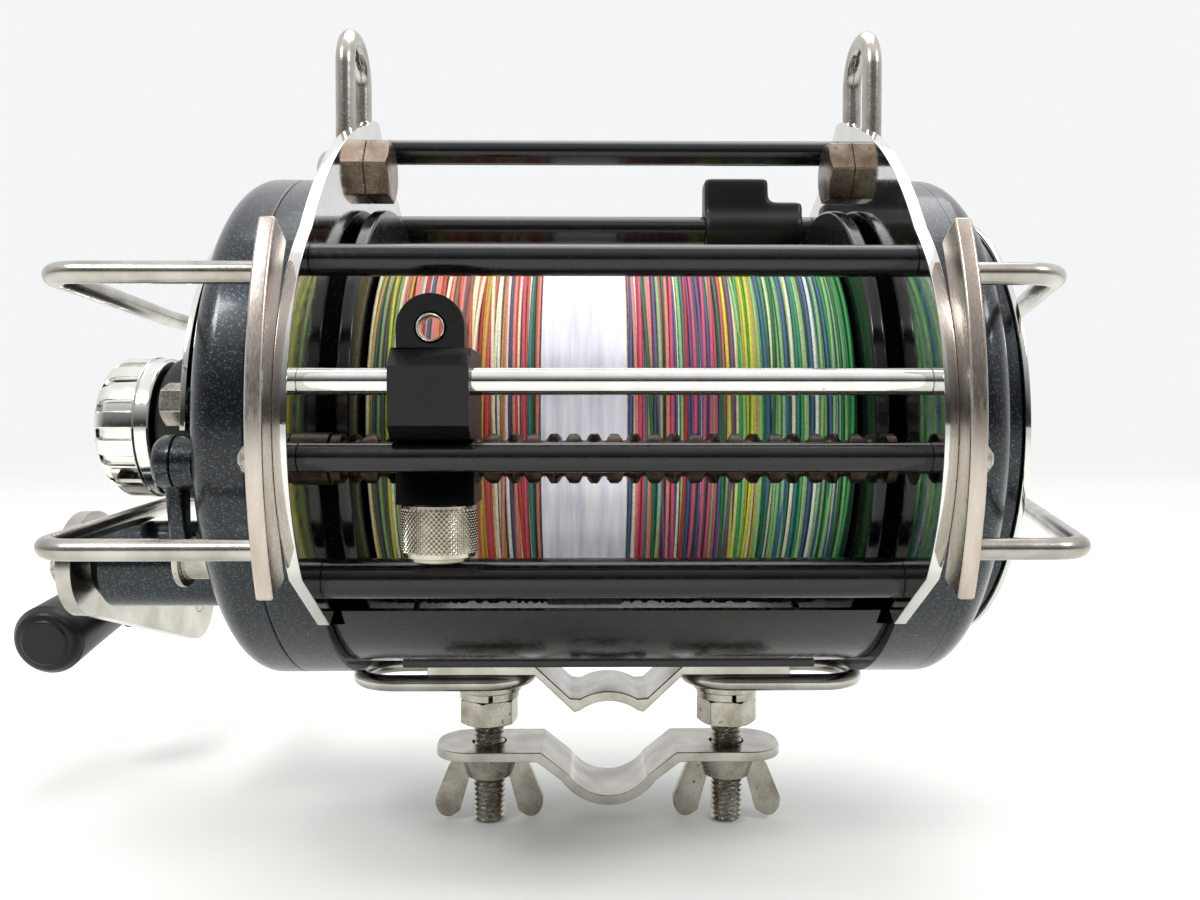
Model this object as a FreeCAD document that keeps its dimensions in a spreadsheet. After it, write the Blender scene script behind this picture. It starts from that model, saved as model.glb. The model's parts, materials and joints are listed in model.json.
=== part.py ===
"""Level-wind trolling reel, clamp-mounted, right handle.

Frame: +Z up, +X along the spool towards the far side, +Y to the rear.
Origin: centre of the rod seat under the foot, on the spool's mid plane.
Millimetres throughout.
"""
import FreeCAD, Part
import math
import os

import Sketcher
from FreeCAD import Placement, Rotation, Vector

DOC = FreeCAD.newDocument("trolling_reel")
SHEET = DOC.addObject("Spreadsheet::Sheet", "Sizes")
NODES = {}

# ------------------------------------------------------------------ sizes
SIZES = [
    # the whole reel
    ("seat_radius", 11.7, "radius of the rod the clamp holds"),
    ("seat_to_axis", 78.2, "rod centre up to the spool axis"),
    ("inner_half", 57.0, "spool mid plane to a guard plate's inner face"),
    ("gap", 0.3, "air between pieces that do not touch"),
    ("running", 0.05, "radial clearance of a running fit"),
    # guard plates
    ("plate_wall", 2.5, "guard plate thickness"),
    ("plate_front", 79.0, "spool axis to the guard plate's front edge"),
    ("plate_rear", 66.0, "radius of the guard plate behind the axis"),
    ("plate_low", 50.0, "radius of the guard plate under the spool"),
    ("plate_tip", 75.5, "height of the guard plate's top ear"),
    ("plate_foot", 40.0, "depth of the guard plate's cut lower end"),
    # housings
    ("housing_radius", 60.0, "outer radius of rings and covers"),
    ("housing_wall", 4.5, "radial wall of rings and covers"),
    ("ring_length", 11.5, "length of a side ring"),
    ("handle_cover_length", 12.0, "length of the handle-side cover"),
    ("far_cover_length", 7.5, "length of the far-side cover"),
    ("web_wall", 1.6, "web and end wall thickness"),
    ("cover_round", 6.0, "edge radius of a cover"),
    ("step_radius", 50.0, "radius of the far side's second step"),
    ("hub_cone_radius", 30.0, "radius of the bearing cap's cone"),
    ("step_length", 5.0, "length of the second step"),
    ("trim_wall", 1.2, "thickness of the bright trim disc"),
    ("cap_radius", 11.4, "radius of the far side's bearing cap"),
    ("cap_length", 21.2, "length of the bearing cap"),
    # bars between the plates
    ("bar_radius", 3.0, "radius of the top and upper bars"),
    ("low_bar_radius", 4.0, "radius of the lower bar and the rear bar"),
    ("top_bar_rise", 68.4, "axis to the top bar, upwards"),
    ("top_bar_forward", 0.5, "axis to the top bar, towards the front"),
    ("upper_bar_forward", 62.0, "axis to the front upper bar, towards the front"),
    ("upper_bar_rise", 31.5, "axis to the front upper bar, upwards"),
    ("low_bar_forward", 54.0, "axis to the lower bar, towards the front"),
    ("low_bar_drop", 30.0, "axis to the lower bar, downwards"),
    ("rear_bar_back", 28.0, "axis to the rear bar, towards the rear"),
    ("rear_bar_rise", 54.5, "axis to the rear bar, upwards"),
    ("rod_radius", 2.5, "radius of the level-wind guide rod"),
    ("rod_forward", 71.0, "axis to the guide rod, towards the front"),
    ("rod_rise", 8.2, "axis to the guide rod, upwards"),
    ("low_front_drop", 5.5, "axis to the front lower bar, downwards"),
    # spool
    ("shaft_radius", 5.0, "spool shaft radius"),
    ("bearing_wall", 5.0, "radial wall of a spool bearing"),
    ("bushing_wall", 2.0, "radial wall of a worm bushing"),
    ("flange_radius", 53.0, "spool flange radius"),
    ("flange_wall", 3.0, "spool flange thickness"),
    ("spool_gap", 1.6, "spool flange to guard plate"),
    ("core_radius", 22.0, "spool core radius"),
    ("line_radius", 44.0, "radius of the wound line"),
    ("tape_low", -14.8, "tape band's handle-side edge"),
    ("tape_high", 3.1, "tape band's far-side edge"),
    ("tape_wall", 0.4, "tape band thickness"),
    # gears
    ("gear_width", 4.0, "face width of every gear"),
    ("gear_set_back", 4.4, "handle cover's face to the drive gears"),
    ("backlash", 0.16, "play between meshed teeth"),
    ("drive_back", 12.0, "spool axis to the handle shaft, towards the front"),
    ("drive_drop", 32.6, "spool axis to the handle shaft, downwards"),
    ("worm_forward", 62.0, "spool axis to the worm, towards the front"),
    ("worm_drop", 6.0, "spool axis to the worm, downwards"),
    ("worm_radius", 4.75, "worm shaft radius"),
    ("worm_end_radius", 3.0, "radius of the worm's journals"),
    # line guide
    ("carriage_at", -33.2, "mid plane to the middle of the line guide"),
    ("carriage_width", 14.4, "line guide width along the worm"),
    ("carriage_wall", 3.0, "line guide wall behind the worm"),
    ("lug_radius", 6.15, "radius of the lug that holds the line eye"),
    ("lug_wall", 5.0, "thickness of the lug"),
    ("lug_rise", 9.6, "guide rod up to the line eye"),
    ("eye_radius", 2.9, "radius of the hole that the line eye fits"),
    ("eye_bore", 2.0, "radius of the line eye's bore"),
    ("eye_length", 5.8, "length of the line eye"),
    ("pawl_radius", 2.5, "radius of the pawl's hole"),
    ("pawl_cap_radius", 7.3, "radius of the knurled pawl cap"),
    ("pawl_cap_height", 10.2, "height of the pawl cap"),
    ("pawl_cap_lip", 1.2, "height of the pawl cap's end"),
    # thumb lever
    ("lever_start", 27.0, "mid plane to the thumb lever"),
    ("lever_width", 17.7, "width of the thumb lever's tongue"),
    ("lever_depth", 8.0, "thickness of the thumb lever's tongue"),
    ("lever_rise", 14.1, "rear bar up to the tongue's top"),
    ("lever_wall", 2.0, "wall of the thumb lever's hub"),
    ("bump_width", 9.5, "width of the thumb lever's lower bump"),
    ("bump_rise", 7.7, "rear bar up to the bump's top"),
    # handle side
    ("knob_radius", 17.5, "drag knob radius"),
    ("knob_length", 14.2, "drag knob length"),
    ("boot_radius", 22.0, "rubber boot's larger radius"),
    ("boot_step_radius", 18.5, "rubber boot's smaller radius"),
    ("boot_length", 24.4, "rubber boot length"),
    ("disc_radius", 50.0, "handle-side disc radius"),
    ("disc_wall", 1.2, "handle-side disc thickness"),
    ("disc_standoff", 3.0, "cover to handle-side disc"),
    ("disc_cut", 0.8, "axis down to the disc's straight edge"),
    ("housing_tube_radius", 10.2, "handle shaft tube radius"),
    ("housing_tube_end", 120.6, "mid plane to the tube's rounded end"),
    ("crank_radius", 4.0, "handle shaft radius"),
    ("crank_length", 66.0, "handle shaft to grip post"),
    ("crank_wall", 3.5, "crank arm thickness"),
    ("crank_half_width", 12.0, "half width of the crank arm at the post"),
    ("crank_hub_radius", 12.5, "crank arm radius at the shaft"),
    ("crank_angle", -17.0, "crank arm's slope at rest, towards the rear"),
    ("grip_radius", 9.5, "radius of the T grip"),
    ("grip_length", 74.0, "length of the T grip"),
    ("grip_offset", 24.0, "crank arm to the grip's axis"),
    ("grip_tilt", 9.0, "grip's slope at rest"),
    ("post_radius", 4.0, "grip post radius"),
    ("clutch_forward", 49.0, "axis to the clutch lever's pivot, towards the front"),
    ("clutch_drop", 7.2, "axis to the clutch lever's pivot, downwards"),
    ("clutch_radius", 5.8, "radius of the clutch lever's hub"),
    ("clutch_reach", 18.0, "clutch lever's pivot to its tip"),
    ("bushing_forward", 37.0, "axis to the flanged bushing, towards the front"),
    ("bushing_drop", 28.0, "axis to the flanged bushing, downwards"),
    ("boss_length", 9.0, "length of the clutch hub and the flanged bushing"),
    # foot and clamp
    ("foot_bend", 18.0, "mid plane to the foot plate's bend"),
    ("foot_valley", 8.4, "mid plane to the foot plate's lowest line"),
    ("arch_half", 7.0, "half width of the arch over the rod"),
    ("clamp_bend", 17.5, "mid plane to the clamp plate's bend"),
    ("foot_loop_near", 30.0, "mid plane to a foot loop's inner bend"),
    ("foot_loop_far", 52.0, "mid plane to a foot loop's outer bend"),
    ("foot_loop_reach", 10.0, "bend radius of a foot loop"),
    ("foot_half", 44.0, "half length of the foot plate"),
    ("foot_depth", 22.0, "foot plate width, front to rear"),
    ("foot_wall", 2.4, "foot plate thickness"),
    ("foot_drop", 57.8, "spool axis down to the foot plate's top"),
    ("cradle_wall", 2.3, "cradle thickness under the spool"),
    ("stud_radius", 4.0, "clamp stud radius"),
    ("stud_half_span", 30.0, "mid plane to a clamp stud"),
    ("stud_end", 21.2, "rod centre down to the stud's end"),
    ("nut_flats", 13.0, "width across flats of the large nuts"),
    ("nut_height", 6.4, "height of the large nuts"),
    ("washer_radius", 8.2, "radius of the flat washers"),
    ("washer_wall", 1.8, "thickness of the flat washers"),
    ("spring_wall", 2.0, "thickness of the spring washers"),
    ("clamp_half", 43.0, "half length of the clamp plate"),
    ("clamp_depth", 20.0, "clamp plate width, front to rear"),
    ("clamp_drop", 1.2, "rod centre down to the clamp ears' top"),
    ("loop_wire", 4.0, "wire diameter of the foot loops"),
    # wire guards
    ("carrier_inner", 77.0, "inner radius of the front carrier bars"),
    ("carrier_outer", 84.5, "outer radius of the front carrier bars"),
    ("handle_upper_reach", 102.0, "mid plane to the handle side's upper hoop"),
    ("handle_lower_reach", 104.0, "mid plane to the handle side's lower hoop"),
    ("far_upper_reach", 80.0, "mid plane to the far side's upper hoop"),
    ("far_lower_reach", 85.0, "mid plane to the far side's lower hoop"),
    ("hoop_bend", 7.0, "bend radius of a hoop's corners"),
    ("bar_wall", 3.1, "thickness of the bars that carry the hoops"),
    ("hoop_wire", 4.0, "wire diameter of the side hoops"),
    ("hoop_forward", 76.0, "axis to the hoops' front run"),
    ("handle_flare", 7.0, "degrees that a handle-side hoop opens towards the rear"),
    ("far_flare", 16.5, "degrees that a far-side hoop opens towards the rear"),
    ("lower_tilt", 1.3, "degrees that the lower hoops rise towards the rear"),
    ("upper_rise", 27.0, "axis to the upper hoops, upwards"),
    ("lower_drop", 21.6, "axis to the lower hoops, downwards"),
    ("harness_wire", 4.5, "wire diameter of the harness loops"),
    ("harness_top", 95.5, "axis to the harness loops' top"),
    ("harness_half_gap", 9.0, "half the spacing of a harness loop's legs"),
    ("bolt_forward", 12.0, "axis to the harness bolts, towards the front"),
    ("bolt_rise", 60.5, "axis to the harness bolts, upwards"),
]

TEETH_PINION = 30
TEETH_MAIN = 36
TEETH_SPOOL_DRIVE = 31
TEETH_IDLER = 40
TEETH_WORM = 14
HANDLE = -1
FAR = 1
SIDES = {"handle_side": HANDLE, "far_side": FAR}


class Size:
    """A length together with the expression that ties it to the sheet."""

    def __init__(self, text, value):
        self.text = text
        self.value = value

    @staticmethod
    def of(number):
        return number if isinstance(number, Size) else Size(repr(float(number)), float(number))

    def join(self, sign, other, value):
        return Size(f"({self.text} {sign} {other.text})", value)

    def __add__(self, other):
        other = Size.of(other)
        return self.join("+", other, self.value + other.value)

    def __sub__(self, other):
        other = Size.of(other)
        return self.join("-", other, self.value - other.value)

    def __mul__(self, other):
        other = Size.of(other)
        return self.join("*", other, self.value * other.value)

    def __truediv__(self, other):
        other = Size.of(other)
        return self.join("/", other, self.value / other.value)

    def __radd__(self, other):
        return Size.of(other) + self

    def __rsub__(self, other):
        return Size.of(other) - self

    def __rmul__(self, other):
        return Size.of(other) * self

    def __neg__(self):
        return Size(f"(-1 * {self.text})", -self.value)


class Sheet:
    """The sheet's sizes by name."""


def fill_sheet():
    """Write every driving dimension into the sheet and name its cell."""
    for row, (alias, number, note) in enumerate(SIZES, start=1):
        SHEET.set(f"A{row}", alias)
        SHEET.set(f"B{row}", str(number))
        SHEET.set(f"C{row}", note)
        SHEET.setAlias(f"B{row}", alias)
        setattr(Sheet, alias, Size(f"Sizes.{alias}", float(number)))
    DOC.recompute()


def root(size):
    return Size(f"sqrt({size.text})", math.sqrt(size.value))


def cosine(size):
    return Size(f"cos({size.text} * 1 deg)", math.cos(math.radians(size.value)))


def sine(size):
    return Size(f"sin({size.text} * 1 deg)", math.sin(math.radians(size.value)))


def bind(item, **sizes):
    """Tie each property of an object to the sheet."""
    for name, size in sizes.items():
        item.setExpression(name.replace("_", "."), Size.of(size).text)


def place(item, x=0, y=0, z=0, turn=None):
    """Put an object at a point that follows the sheet, turned by a rotation."""
    x, y, z = Size.of(x), Size.of(y), Size.of(z)
    item.Placement = Placement(Vector(x.value, y.value, z.value), turn or Rotation())
    for axis, size in zip("xyz", (x, y, z)):
        item.setExpression(f"Placement.Base.{axis}", size.text)


def keep(name, item):
    """Name an object as one of the reel's pieces."""
    item.Label = name
    NODES[name] = item
    return item


ALONG_X = Rotation(Vector(0, 1, 0), 90)
ALONG_Y = Rotation(Vector(1, 0, 0), -90)
ALONG_Z = Rotation()


# ----------------------------------------------------------- shape helpers
def cylinder(name, radius, length, x=0, y=0, z=0, turn=ALONG_X):
    """A round bar that starts at a point and runs along the turned Z axis."""
    item = DOC.addObject("Part::Cylinder", name)
    bind(item, Radius=radius, Height=length)
    place(item, x, y, z, turn)
    return item


def block(name, length, width, height, x=0, y=0, z=0, turn=ALONG_Z):
    item = DOC.addObject("Part::Box", name)
    bind(item, Length=length, Width=width, Height=height)
    place(item, x, y, z, turn)
    return item


def prism(name, flats, height, x=0, y=0, z=0, turn=ALONG_X):
    """A hexagonal bar, sized across its flats."""
    item = DOC.addObject("Part::Prism", name)
    item.Polygon = 6
    bind(item, Circumradius=flats / root(Size.of(3)), Height=height)
    place(item, x, y, z, turn)
    return item


def fuse(name, *items):
    item = DOC.addObject("Part::MultiFuse", name)
    item.Shapes = list(items)
    item.Refine = True
    return item


def cut(name, base, *tools):
    """A base less its tools."""
    tool = tools[0]
    if len(tools) > 1:
        tool = DOC.addObject("Part::MultiFuse", f"{name}_tools")
        tool.Shapes = list(tools)
    item = DOC.addObject("Part::Cut", name)
    item.Base = base
    item.Tool = tool
    return item


def group(name, items):
    """Identical pieces that share one node."""
    item = DOC.addObject("Part::Compound", name)
    item.Links = list(items)
    return keep(name, item)


def origin_plane(body, role):
    return next(plane for plane in body.Origin.OriginFeatures if plane.Role == role)


def new_body(name):
    return DOC.addObject("PartDesign::Body", name)


def new_sketch(body, name, role):
    sketch = body.newObject("Sketcher::SketchObject", name)
    sketch.AttachmentSupport = [(origin_plane(body, role), "")]
    sketch.MapMode = "FlatFace"
    return sketch


def arc_between(start, end, radius):
    """The short arc from start to end; a positive radius bulges to the right of the way."""
    chord = end - start
    reach = abs(radius)
    middle = (start + end) * 0.5
    left = Vector(-chord.y, chord.x, 0).normalize()
    depth = math.sqrt(max(reach**2 - (chord.Length / 2) ** 2, 0))
    centre = middle + left * (depth if radius > 0 else -depth)
    first, last = (start, end) if radius > 0 else (end, start)
    begin = math.atan2(first.y - centre.y, first.x - centre.x)
    stop = math.atan2(last.y - centre.y, last.x - centre.x)
    if stop < begin:
        stop += 2 * math.pi
    return Part.ArcOfCircle(Part.Circle(centre, Vector(0, 0, 1), reach), begin, stop)


def draw(sketch, corners, closed=True):
    """Draw lines and arcs through corners (x, y) or (x, y, radius of the arc to the next).

    Every corner and radius is a constraint that follows the sheet.
    """
    points = [Vector(Size.of(c[0]).value, Size.of(c[1]).value, 0) for c in corners]
    spans = len(corners) if closed else len(corners) - 1
    ends = []
    for index in range(spans):
        start = points[index]
        end = points[(index + 1) % len(points)]
        radius = corners[index][2] if len(corners[index]) > 2 else None
        if radius is None:
            edge = sketch.addGeometry(Part.LineSegment(start, end), False)
            ends.append((edge, 1, 2))
            continue
        radius = Size.of(radius)
        edge = sketch.addGeometry(arc_between(start, end, radius.value), False)
        ends.append((edge, 1, 2) if radius.value > 0 else (edge, 2, 1))
        rule = sketch.addConstraint(Sketcher.Constraint("Radius", edge, abs(radius.value)))
        size = radius if radius.value > 0 else -radius
        sketch.setExpression(f"Constraints[{rule}]", size.text)
    for index in range(1, spans):
        before, after = ends[index - 1], ends[index]
        sketch.addConstraint(Sketcher.Constraint("Coincident", before[0], before[2], after[0], after[1]))
    if closed:
        before, after = ends[-1], ends[0]
        sketch.addConstraint(Sketcher.Constraint("Coincident", before[0], before[2], after[0], after[1]))
    for index, corner in enumerate(corners):
        edge, first, last = ends[index] if index < spans else ends[-1]
        point = first if index < spans else last
        for kind, size in zip(("DistanceX", "DistanceY"), corner[:2]):
            size = Size.of(size)
            rule = sketch.addConstraint(Sketcher.Constraint(kind, -1, 1, edge, point, size.value))
            sketch.setExpression(f"Constraints[{rule}]", size.text)


def hole(sketch, x, y, radius):
    """A circle in a sketch, its centre and radius following the sheet."""
    x, y, radius = Size.of(x), Size.of(y), Size.of(radius)
    circle = Part.Circle(Vector(x.value, y.value, 0), Vector(0, 0, 1), radius.value)
    edge = sketch.addGeometry(circle, False)
    rules = (("DistanceX", x), ("DistanceY", y))
    for kind, size in rules:
        rule = sketch.addConstraint(Sketcher.Constraint(kind, -1, 1, edge, 3, size.value))
        sketch.setExpression(f"Constraints[{rule}]", size.text)
    rule = sketch.addConstraint(Sketcher.Constraint("Radius", edge, radius.value))
    sketch.setExpression(f"Constraints[{rule}]", radius.text)


def turned(name, corners, x=0, y=0, z=0, side=FAR):
    """A lathe-turned piece: corners are (distance along X from the base, radius)."""
    body = new_body(name)
    sketch = new_sketch(body, f"{name}_profile", "XY_Plane")
    draw(sketch, [(side * c[0], c[1], *(side * radius for radius in c[2:])) for c in corners])
    turn = body.newObject("PartDesign::Revolution", f"{name}_turning")
    turn.Profile = sketch
    turn.ReferenceAxis = (sketch, ["H_Axis"])
    turn.Angle = 360
    place(body, x, y, z)
    return body


def plate(name, corners, thickness, x=0, y=0, z=0, holes=(), side=FAR, role="YZ_Plane"):
    """A flat plate padded from an outline, with round holes."""
    body = new_body(name)
    sketch = new_sketch(body, f"{name}_outline", role)
    draw(sketch, corners)
    for entry in holes:
        hole(sketch, *entry)
    pad = body.newObject("PartDesign::Pad", f"{name}_pad")
    pad.Profile = sketch
    pad.Length = Size.of(thickness).value
    bind(pad, Length=thickness)
    pad.Reversed = side == HANDLE
    place(body, x, y, z)
    return body


def bent_wire(name, corners, wire, bend, role, x=0, y=0, z=0):
    """A wire of one diameter, bent in a plane: corners (x, y) with one bend radius."""
    body = new_body(name)
    spine = new_sketch(body, f"{name}_spine", role)
    draw(spine, rounded(corners, bend), closed=False)
    section = body.newObject("Sketcher::SketchObject", f"{name}_section")
    section.AttachmentSupport = [(spine, "Edge1")]
    section.MapMode = "NormalToEdge"
    hole(section, 0, 0, wire / 2)
    DOC.recompute()
    pipe = body.newObject("PartDesign::AdditivePipe", f"{name}_pipe")
    pipe.Profile = section
    pipe.Spine = (spine, [f"Edge{n}" for n in range(1, spine.GeometryCount + 1)])
    place(body, x, y, z)
    return body


def rounded(corners, bend):
    """Replace each inner corner by the two tangent points of a bend."""
    result = [corners[0]]
    for before, corner, after in zip(corners, corners[1:], corners[2:]):
        legs = []
        for other in (before, after):
            run_x = Size.of(other[0]) - corner[0]
            run_y = Size.of(other[1]) - corner[1]
            run = root(run_x * run_x + run_y * run_y)
            legs.append((run_x / run, run_y / run))
        (ax, ay), (bx, by) = legs
        # half the angle between the legs, from its cosine
        cos_angle = ax * bx + ay * by
        setback = bend * root((1 + cos_angle) / (1 - cos_angle))
        turns_left = (ax * by - ay * bx).value < 0
        radius = bend if turns_left else -bend
        result.append((corner[0] + ax * setback, corner[1] + ay * setback, radius))
        result.append((corner[0] + bx * setback, corner[1] + by * setback))
    result.append(corners[-1])
    return result


def gear(name, teeth, pitch, bore, x, y, z, phase, side=FAR):
    """A spur gear along X. Phase is the angle of one tooth's middle, from +Y towards +Z."""
    pitch, bore = Size.of(pitch), Size.of(bore)
    module = 2 * pitch.value / teeth
    base = pitch.value * math.cos(math.radians(20))
    tip = pitch.value + module - Sheet.backlash.value
    foot = pitch.value - 1.25 * module
    half_tooth = math.pi / (2 * teeth) - Sheet.backlash.value / (2 * pitch.value)
    at_pitch = math.tan(math.radians(20)) - math.radians(20)
    flank = []
    for step in range(4):
        reach = max(base, foot) + (tip - max(base, foot)) * step / 3
        angle = math.acos(min(base / reach, 1))
        flank.append((reach, half_tooth + at_pitch - (math.tan(angle) - angle)))
    flank.insert(0, (min(foot, base), flank[0][1] + 0.002))
    points = []
    for tooth in range(teeth):
        middle = math.radians(phase) + 2 * math.pi * tooth / teeth
        for reach, half in flank:
            points.append((reach, middle - half))
        for reach, half in reversed(flank):
            points.append((reach, middle + half))
    outline = [Vector(0, r * math.cos(a), r * math.sin(a)) for r, a in points]
    face = Part.Face(Part.makePolygon(outline + outline[:1]))
    width = Sheet.gear_width.value
    blank = face.extrude(Vector(side * width, 0, 0))
    bore_bar = Part.makeCylinder(bore.value, width, Vector(), Vector(side, 0, 0))
    item = DOC.addObject("Part::Feature", name)
    item.Shape = blank.cut(bore_bar)
    place(item, x, y, z)
    return keep(name, item)


fill_sheet()
S = Sheet

# ------------------------------------------------------- shared stations
AXIS = S.seat_to_axis
PLATE_OUT = S.inner_half + S.plate_wall
RING_OUT = PLATE_OUT + S.ring_length
HANDLE_OUT = RING_OUT + S.handle_cover_length
FAR_OUT = RING_OUT + S.far_cover_length
GEAR_OUT = HANDLE_OUT - S.gear_set_back
HOUSING_IN = S.housing_radius - S.housing_wall
DRIVE_Y = -S.drive_back
DRIVE_Z = AXIS - S.drive_drop
WORM_Y = -S.worm_forward
WORM_Z = AXIS - S.worm_drop
ROD_Y = -S.rod_forward
ROD_Z = AXIS + S.rod_rise
LOW_FRONT_Z = AXIS - S.low_front_drop
FOOT_TOP = AXIS - S.foot_drop
FOOT_UNDER = FOOT_TOP - S.foot_wall
SPOOL_HALF = S.inner_half - S.spool_gap
BEARING_RADIUS = S.shaft_radius + S.bearing_wall
JOURNAL_HOLE = S.worm_end_radius + S.bushing_wall


# ------------------------------------------------------------ frame plates
def guard_plates():
    """Polished half-moon plates, with an ear on top and a cut lower end."""
    lower_y = 0.77 * S.plate_low
    lower_z = root(S.plate_low * S.plate_low - lower_y * lower_y)
    rear_z = -S.plate_foot
    rear_y = root(S.plate_rear * S.plate_rear - rear_z * rear_z)
    outline = [
        (-S.plate_foot * 1.27, -S.plate_foot),
        (-S.plate_front * 0.885, -S.plate_foot * 0.7, -49.0),
        (-S.plate_front * 0.785, S.plate_tip * 0.5, -96.0),
        (-13.0, S.plate_tip * 0.945, -26.0),
        (-0.5, S.plate_tip),
        (3.5, S.plate_tip - 3.0),
        (3.5, root(S.plate_rear * S.plate_rear - 12.25), -S.plate_rear),
        (S.plate_rear, 0.0, -S.plate_rear),
        (rear_y, rear_z),
        (lower_y, -lower_z, -S.plate_low),
        (0.0, -S.plate_low, -S.plate_low),
        (-lower_y, -lower_z),
    ]
    plates = []
    for name, side in SIDES.items():
        holes = [(0, 0, BEARING_RADIUS)]
        holes.append((-S.bolt_forward, S.bolt_rise, S.stud_radius + S.running))
        if side == FAR:
            holes.append((-S.worm_forward, -S.worm_drop, JOURNAL_HOLE))
        start = side * S.inner_half
        plates.append(plate(f"{name}_guard_plate", outline, S.plate_wall, start, 0, AXIS, holes, side))
    group("guard_plates", plates)


def bolt_pocket(name, side):
    """The relief that lets a harness bolt and its nut pass the housing."""
    return cylinder(
        name,
        S.stud_radius + 1.4,
        S.ring_length + 6.0,
        side * (PLATE_OUT - 0.5) - (0 if side == FAR else S.ring_length + 6.0),
        -S.bolt_forward,
        AXIS + S.bolt_rise,
    )


def side_rings():
    """Cast rings outside the guard plates; the far one carries the level-wind gear nose."""
    for name, side in SIDES.items():
        depth = S.ring_length
        ring = turned(
            f"{name}_ring_turned",
            [
                (0, BEARING_RADIUS),
                (S.web_wall, BEARING_RADIUS),
                (S.web_wall, HOUSING_IN),
                (depth, HOUSING_IN),
                (depth, S.housing_radius),
                (0, S.housing_radius),
            ],
            side * PLATE_OUT,
            0,
            AXIS,
            side,
        )
        tools = [bolt_pocket(f"{name}_ring_bolt_pocket", side)]
        if side == FAR:
            nose_radius = worm_pitch() + 3.4
            nose_depth = S.web_wall + S.gap * 2 + S.gear_width + S.gap * 2 + S.web_wall
            nose = cylinder("ring_nose", nose_radius, nose_depth, PLATE_OUT, WORM_Y, WORM_Z)
            room = cylinder(
                "ring_nose_room",
                nose_radius - 1.6,
                nose_depth - 2 * S.web_wall,
                PLATE_OUT + S.web_wall,
                WORM_Y,
                WORM_Z,
            )
            tools.append(room)
            journal = cylinder("ring_nose_journal", JOURNAL_HOLE, S.web_wall, PLATE_OUT, WORM_Y, WORM_Z)
            tools.append(journal)
            blank = fuse("far_side_ring_blank", ring, nose)
            # the idler sweeps from the ring into the nose
            idler_y, idler_z = idler_centre()
            sweep = cylinder(
                "ring_idler_room",
                idler_pitch() + 1.6,
                nose_depth - 2 * S.web_wall,
                PLATE_OUT + S.web_wall,
                idler_y,
                idler_z,
            )
            tools.append(sweep)
        else:
            blank = ring
        keep(f"{name}_ring", cut(f"{name}_ring", blank, *tools))


def worm_distance():
    return root(S.worm_forward * S.worm_forward + S.worm_drop * S.worm_drop)


def wind_module():
    return worm_distance() / (TEETH_SPOOL_DRIVE / 2 + TEETH_IDLER + TEETH_WORM / 2)


def worm_pitch():
    return wind_module() * TEETH_WORM / 2


def idler_pitch():
    return wind_module() * TEETH_IDLER / 2


def spool_drive_pitch():
    return wind_module() * TEETH_SPOOL_DRIVE / 2


def idler_centre():
    """The idler sits on the line from the spool axis to the worm."""
    share = (spool_drive_pitch() + idler_pitch()) / worm_distance()
    return -S.worm_forward * share, AXIS - S.worm_drop * share


def drive_distance():
    return root(S.drive_back * S.drive_back + S.drive_drop * S.drive_drop)


def covers():
    """Round-edged cast covers that close the gear spaces."""
    lengths = {"handle_side": S.handle_cover_length, "far_side": S.far_cover_length}
    for name, side in SIDES.items():
        depth = lengths[name]
        bore = BEARING_RADIUS
        edge = S.cover_round
        cover = turned(
            f"{name}_cover_turned",
            [
                (0, HOUSING_IN),
                (depth - S.web_wall - 1.0, HOUSING_IN),
                (depth - S.web_wall - 1.0, bore),
                (depth, bore),
                (depth, S.housing_radius - edge, edge),
                (depth - edge, S.housing_radius),
                (0, S.housing_radius),
            ],
            side * RING_OUT,
            0,
            AXIS,
            side,
        )
        tools = [bolt_pocket(f"{name}_cover_bolt_pocket", side)]
        if side == HANDLE:
            tools.append(
                cylinder(
                    "cover_drive_hole",
                    S.housing_tube_radius,
                    S.handle_cover_length + 2.0,
                    -HANDLE_OUT - 1.0,
                    DRIVE_Y,
                    DRIVE_Z,
                )
            )
        keep(f"{name}_cover", cut(f"{name}_cover", cover, *tools))


def far_side_trim():
    """The stepped end, its bright trim ring and the domed bearing cap."""
    step = turned(
        "far_side_step",
        [
            (0, BEARING_RADIUS),
            (S.step_length, BEARING_RADIUS),
            (S.step_length, S.step_radius),
            (0, S.step_radius),
        ],
        FAR_OUT,
        0,
        AXIS,
    )
    keep("far_side_step", step)
    trim_start = FAR_OUT + S.step_length
    trim = turned(
        "far_side_trim",
        [
            (0, S.hub_cone_radius + S.running),
            (S.trim_wall, S.hub_cone_radius + S.running),
            (S.trim_wall, S.step_radius + 0.8),
            (0, S.step_radius + 0.8),
        ],
        trim_start,
        0,
        AXIS,
    )
    keep("far_side_trim", trim)
    cap = turned(
        "bearing_cap",
        [
            (0, 0),
            (S.cap_length, 0),
            (S.cap_length - 1.0, S.cap_radius * 0.45),
            (S.cap_length - 3.6, S.cap_radius * 0.83),
            (S.cap_length - 8.0, S.cap_radius),
            (5.5, S.cap_radius),
            (3.0, S.hub_cone_radius - 2.0),
            (0, S.hub_cone_radius),
        ],
        trim_start,
        0,
        AXIS,
    )
    keep("bearing_cap", cap)


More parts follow.
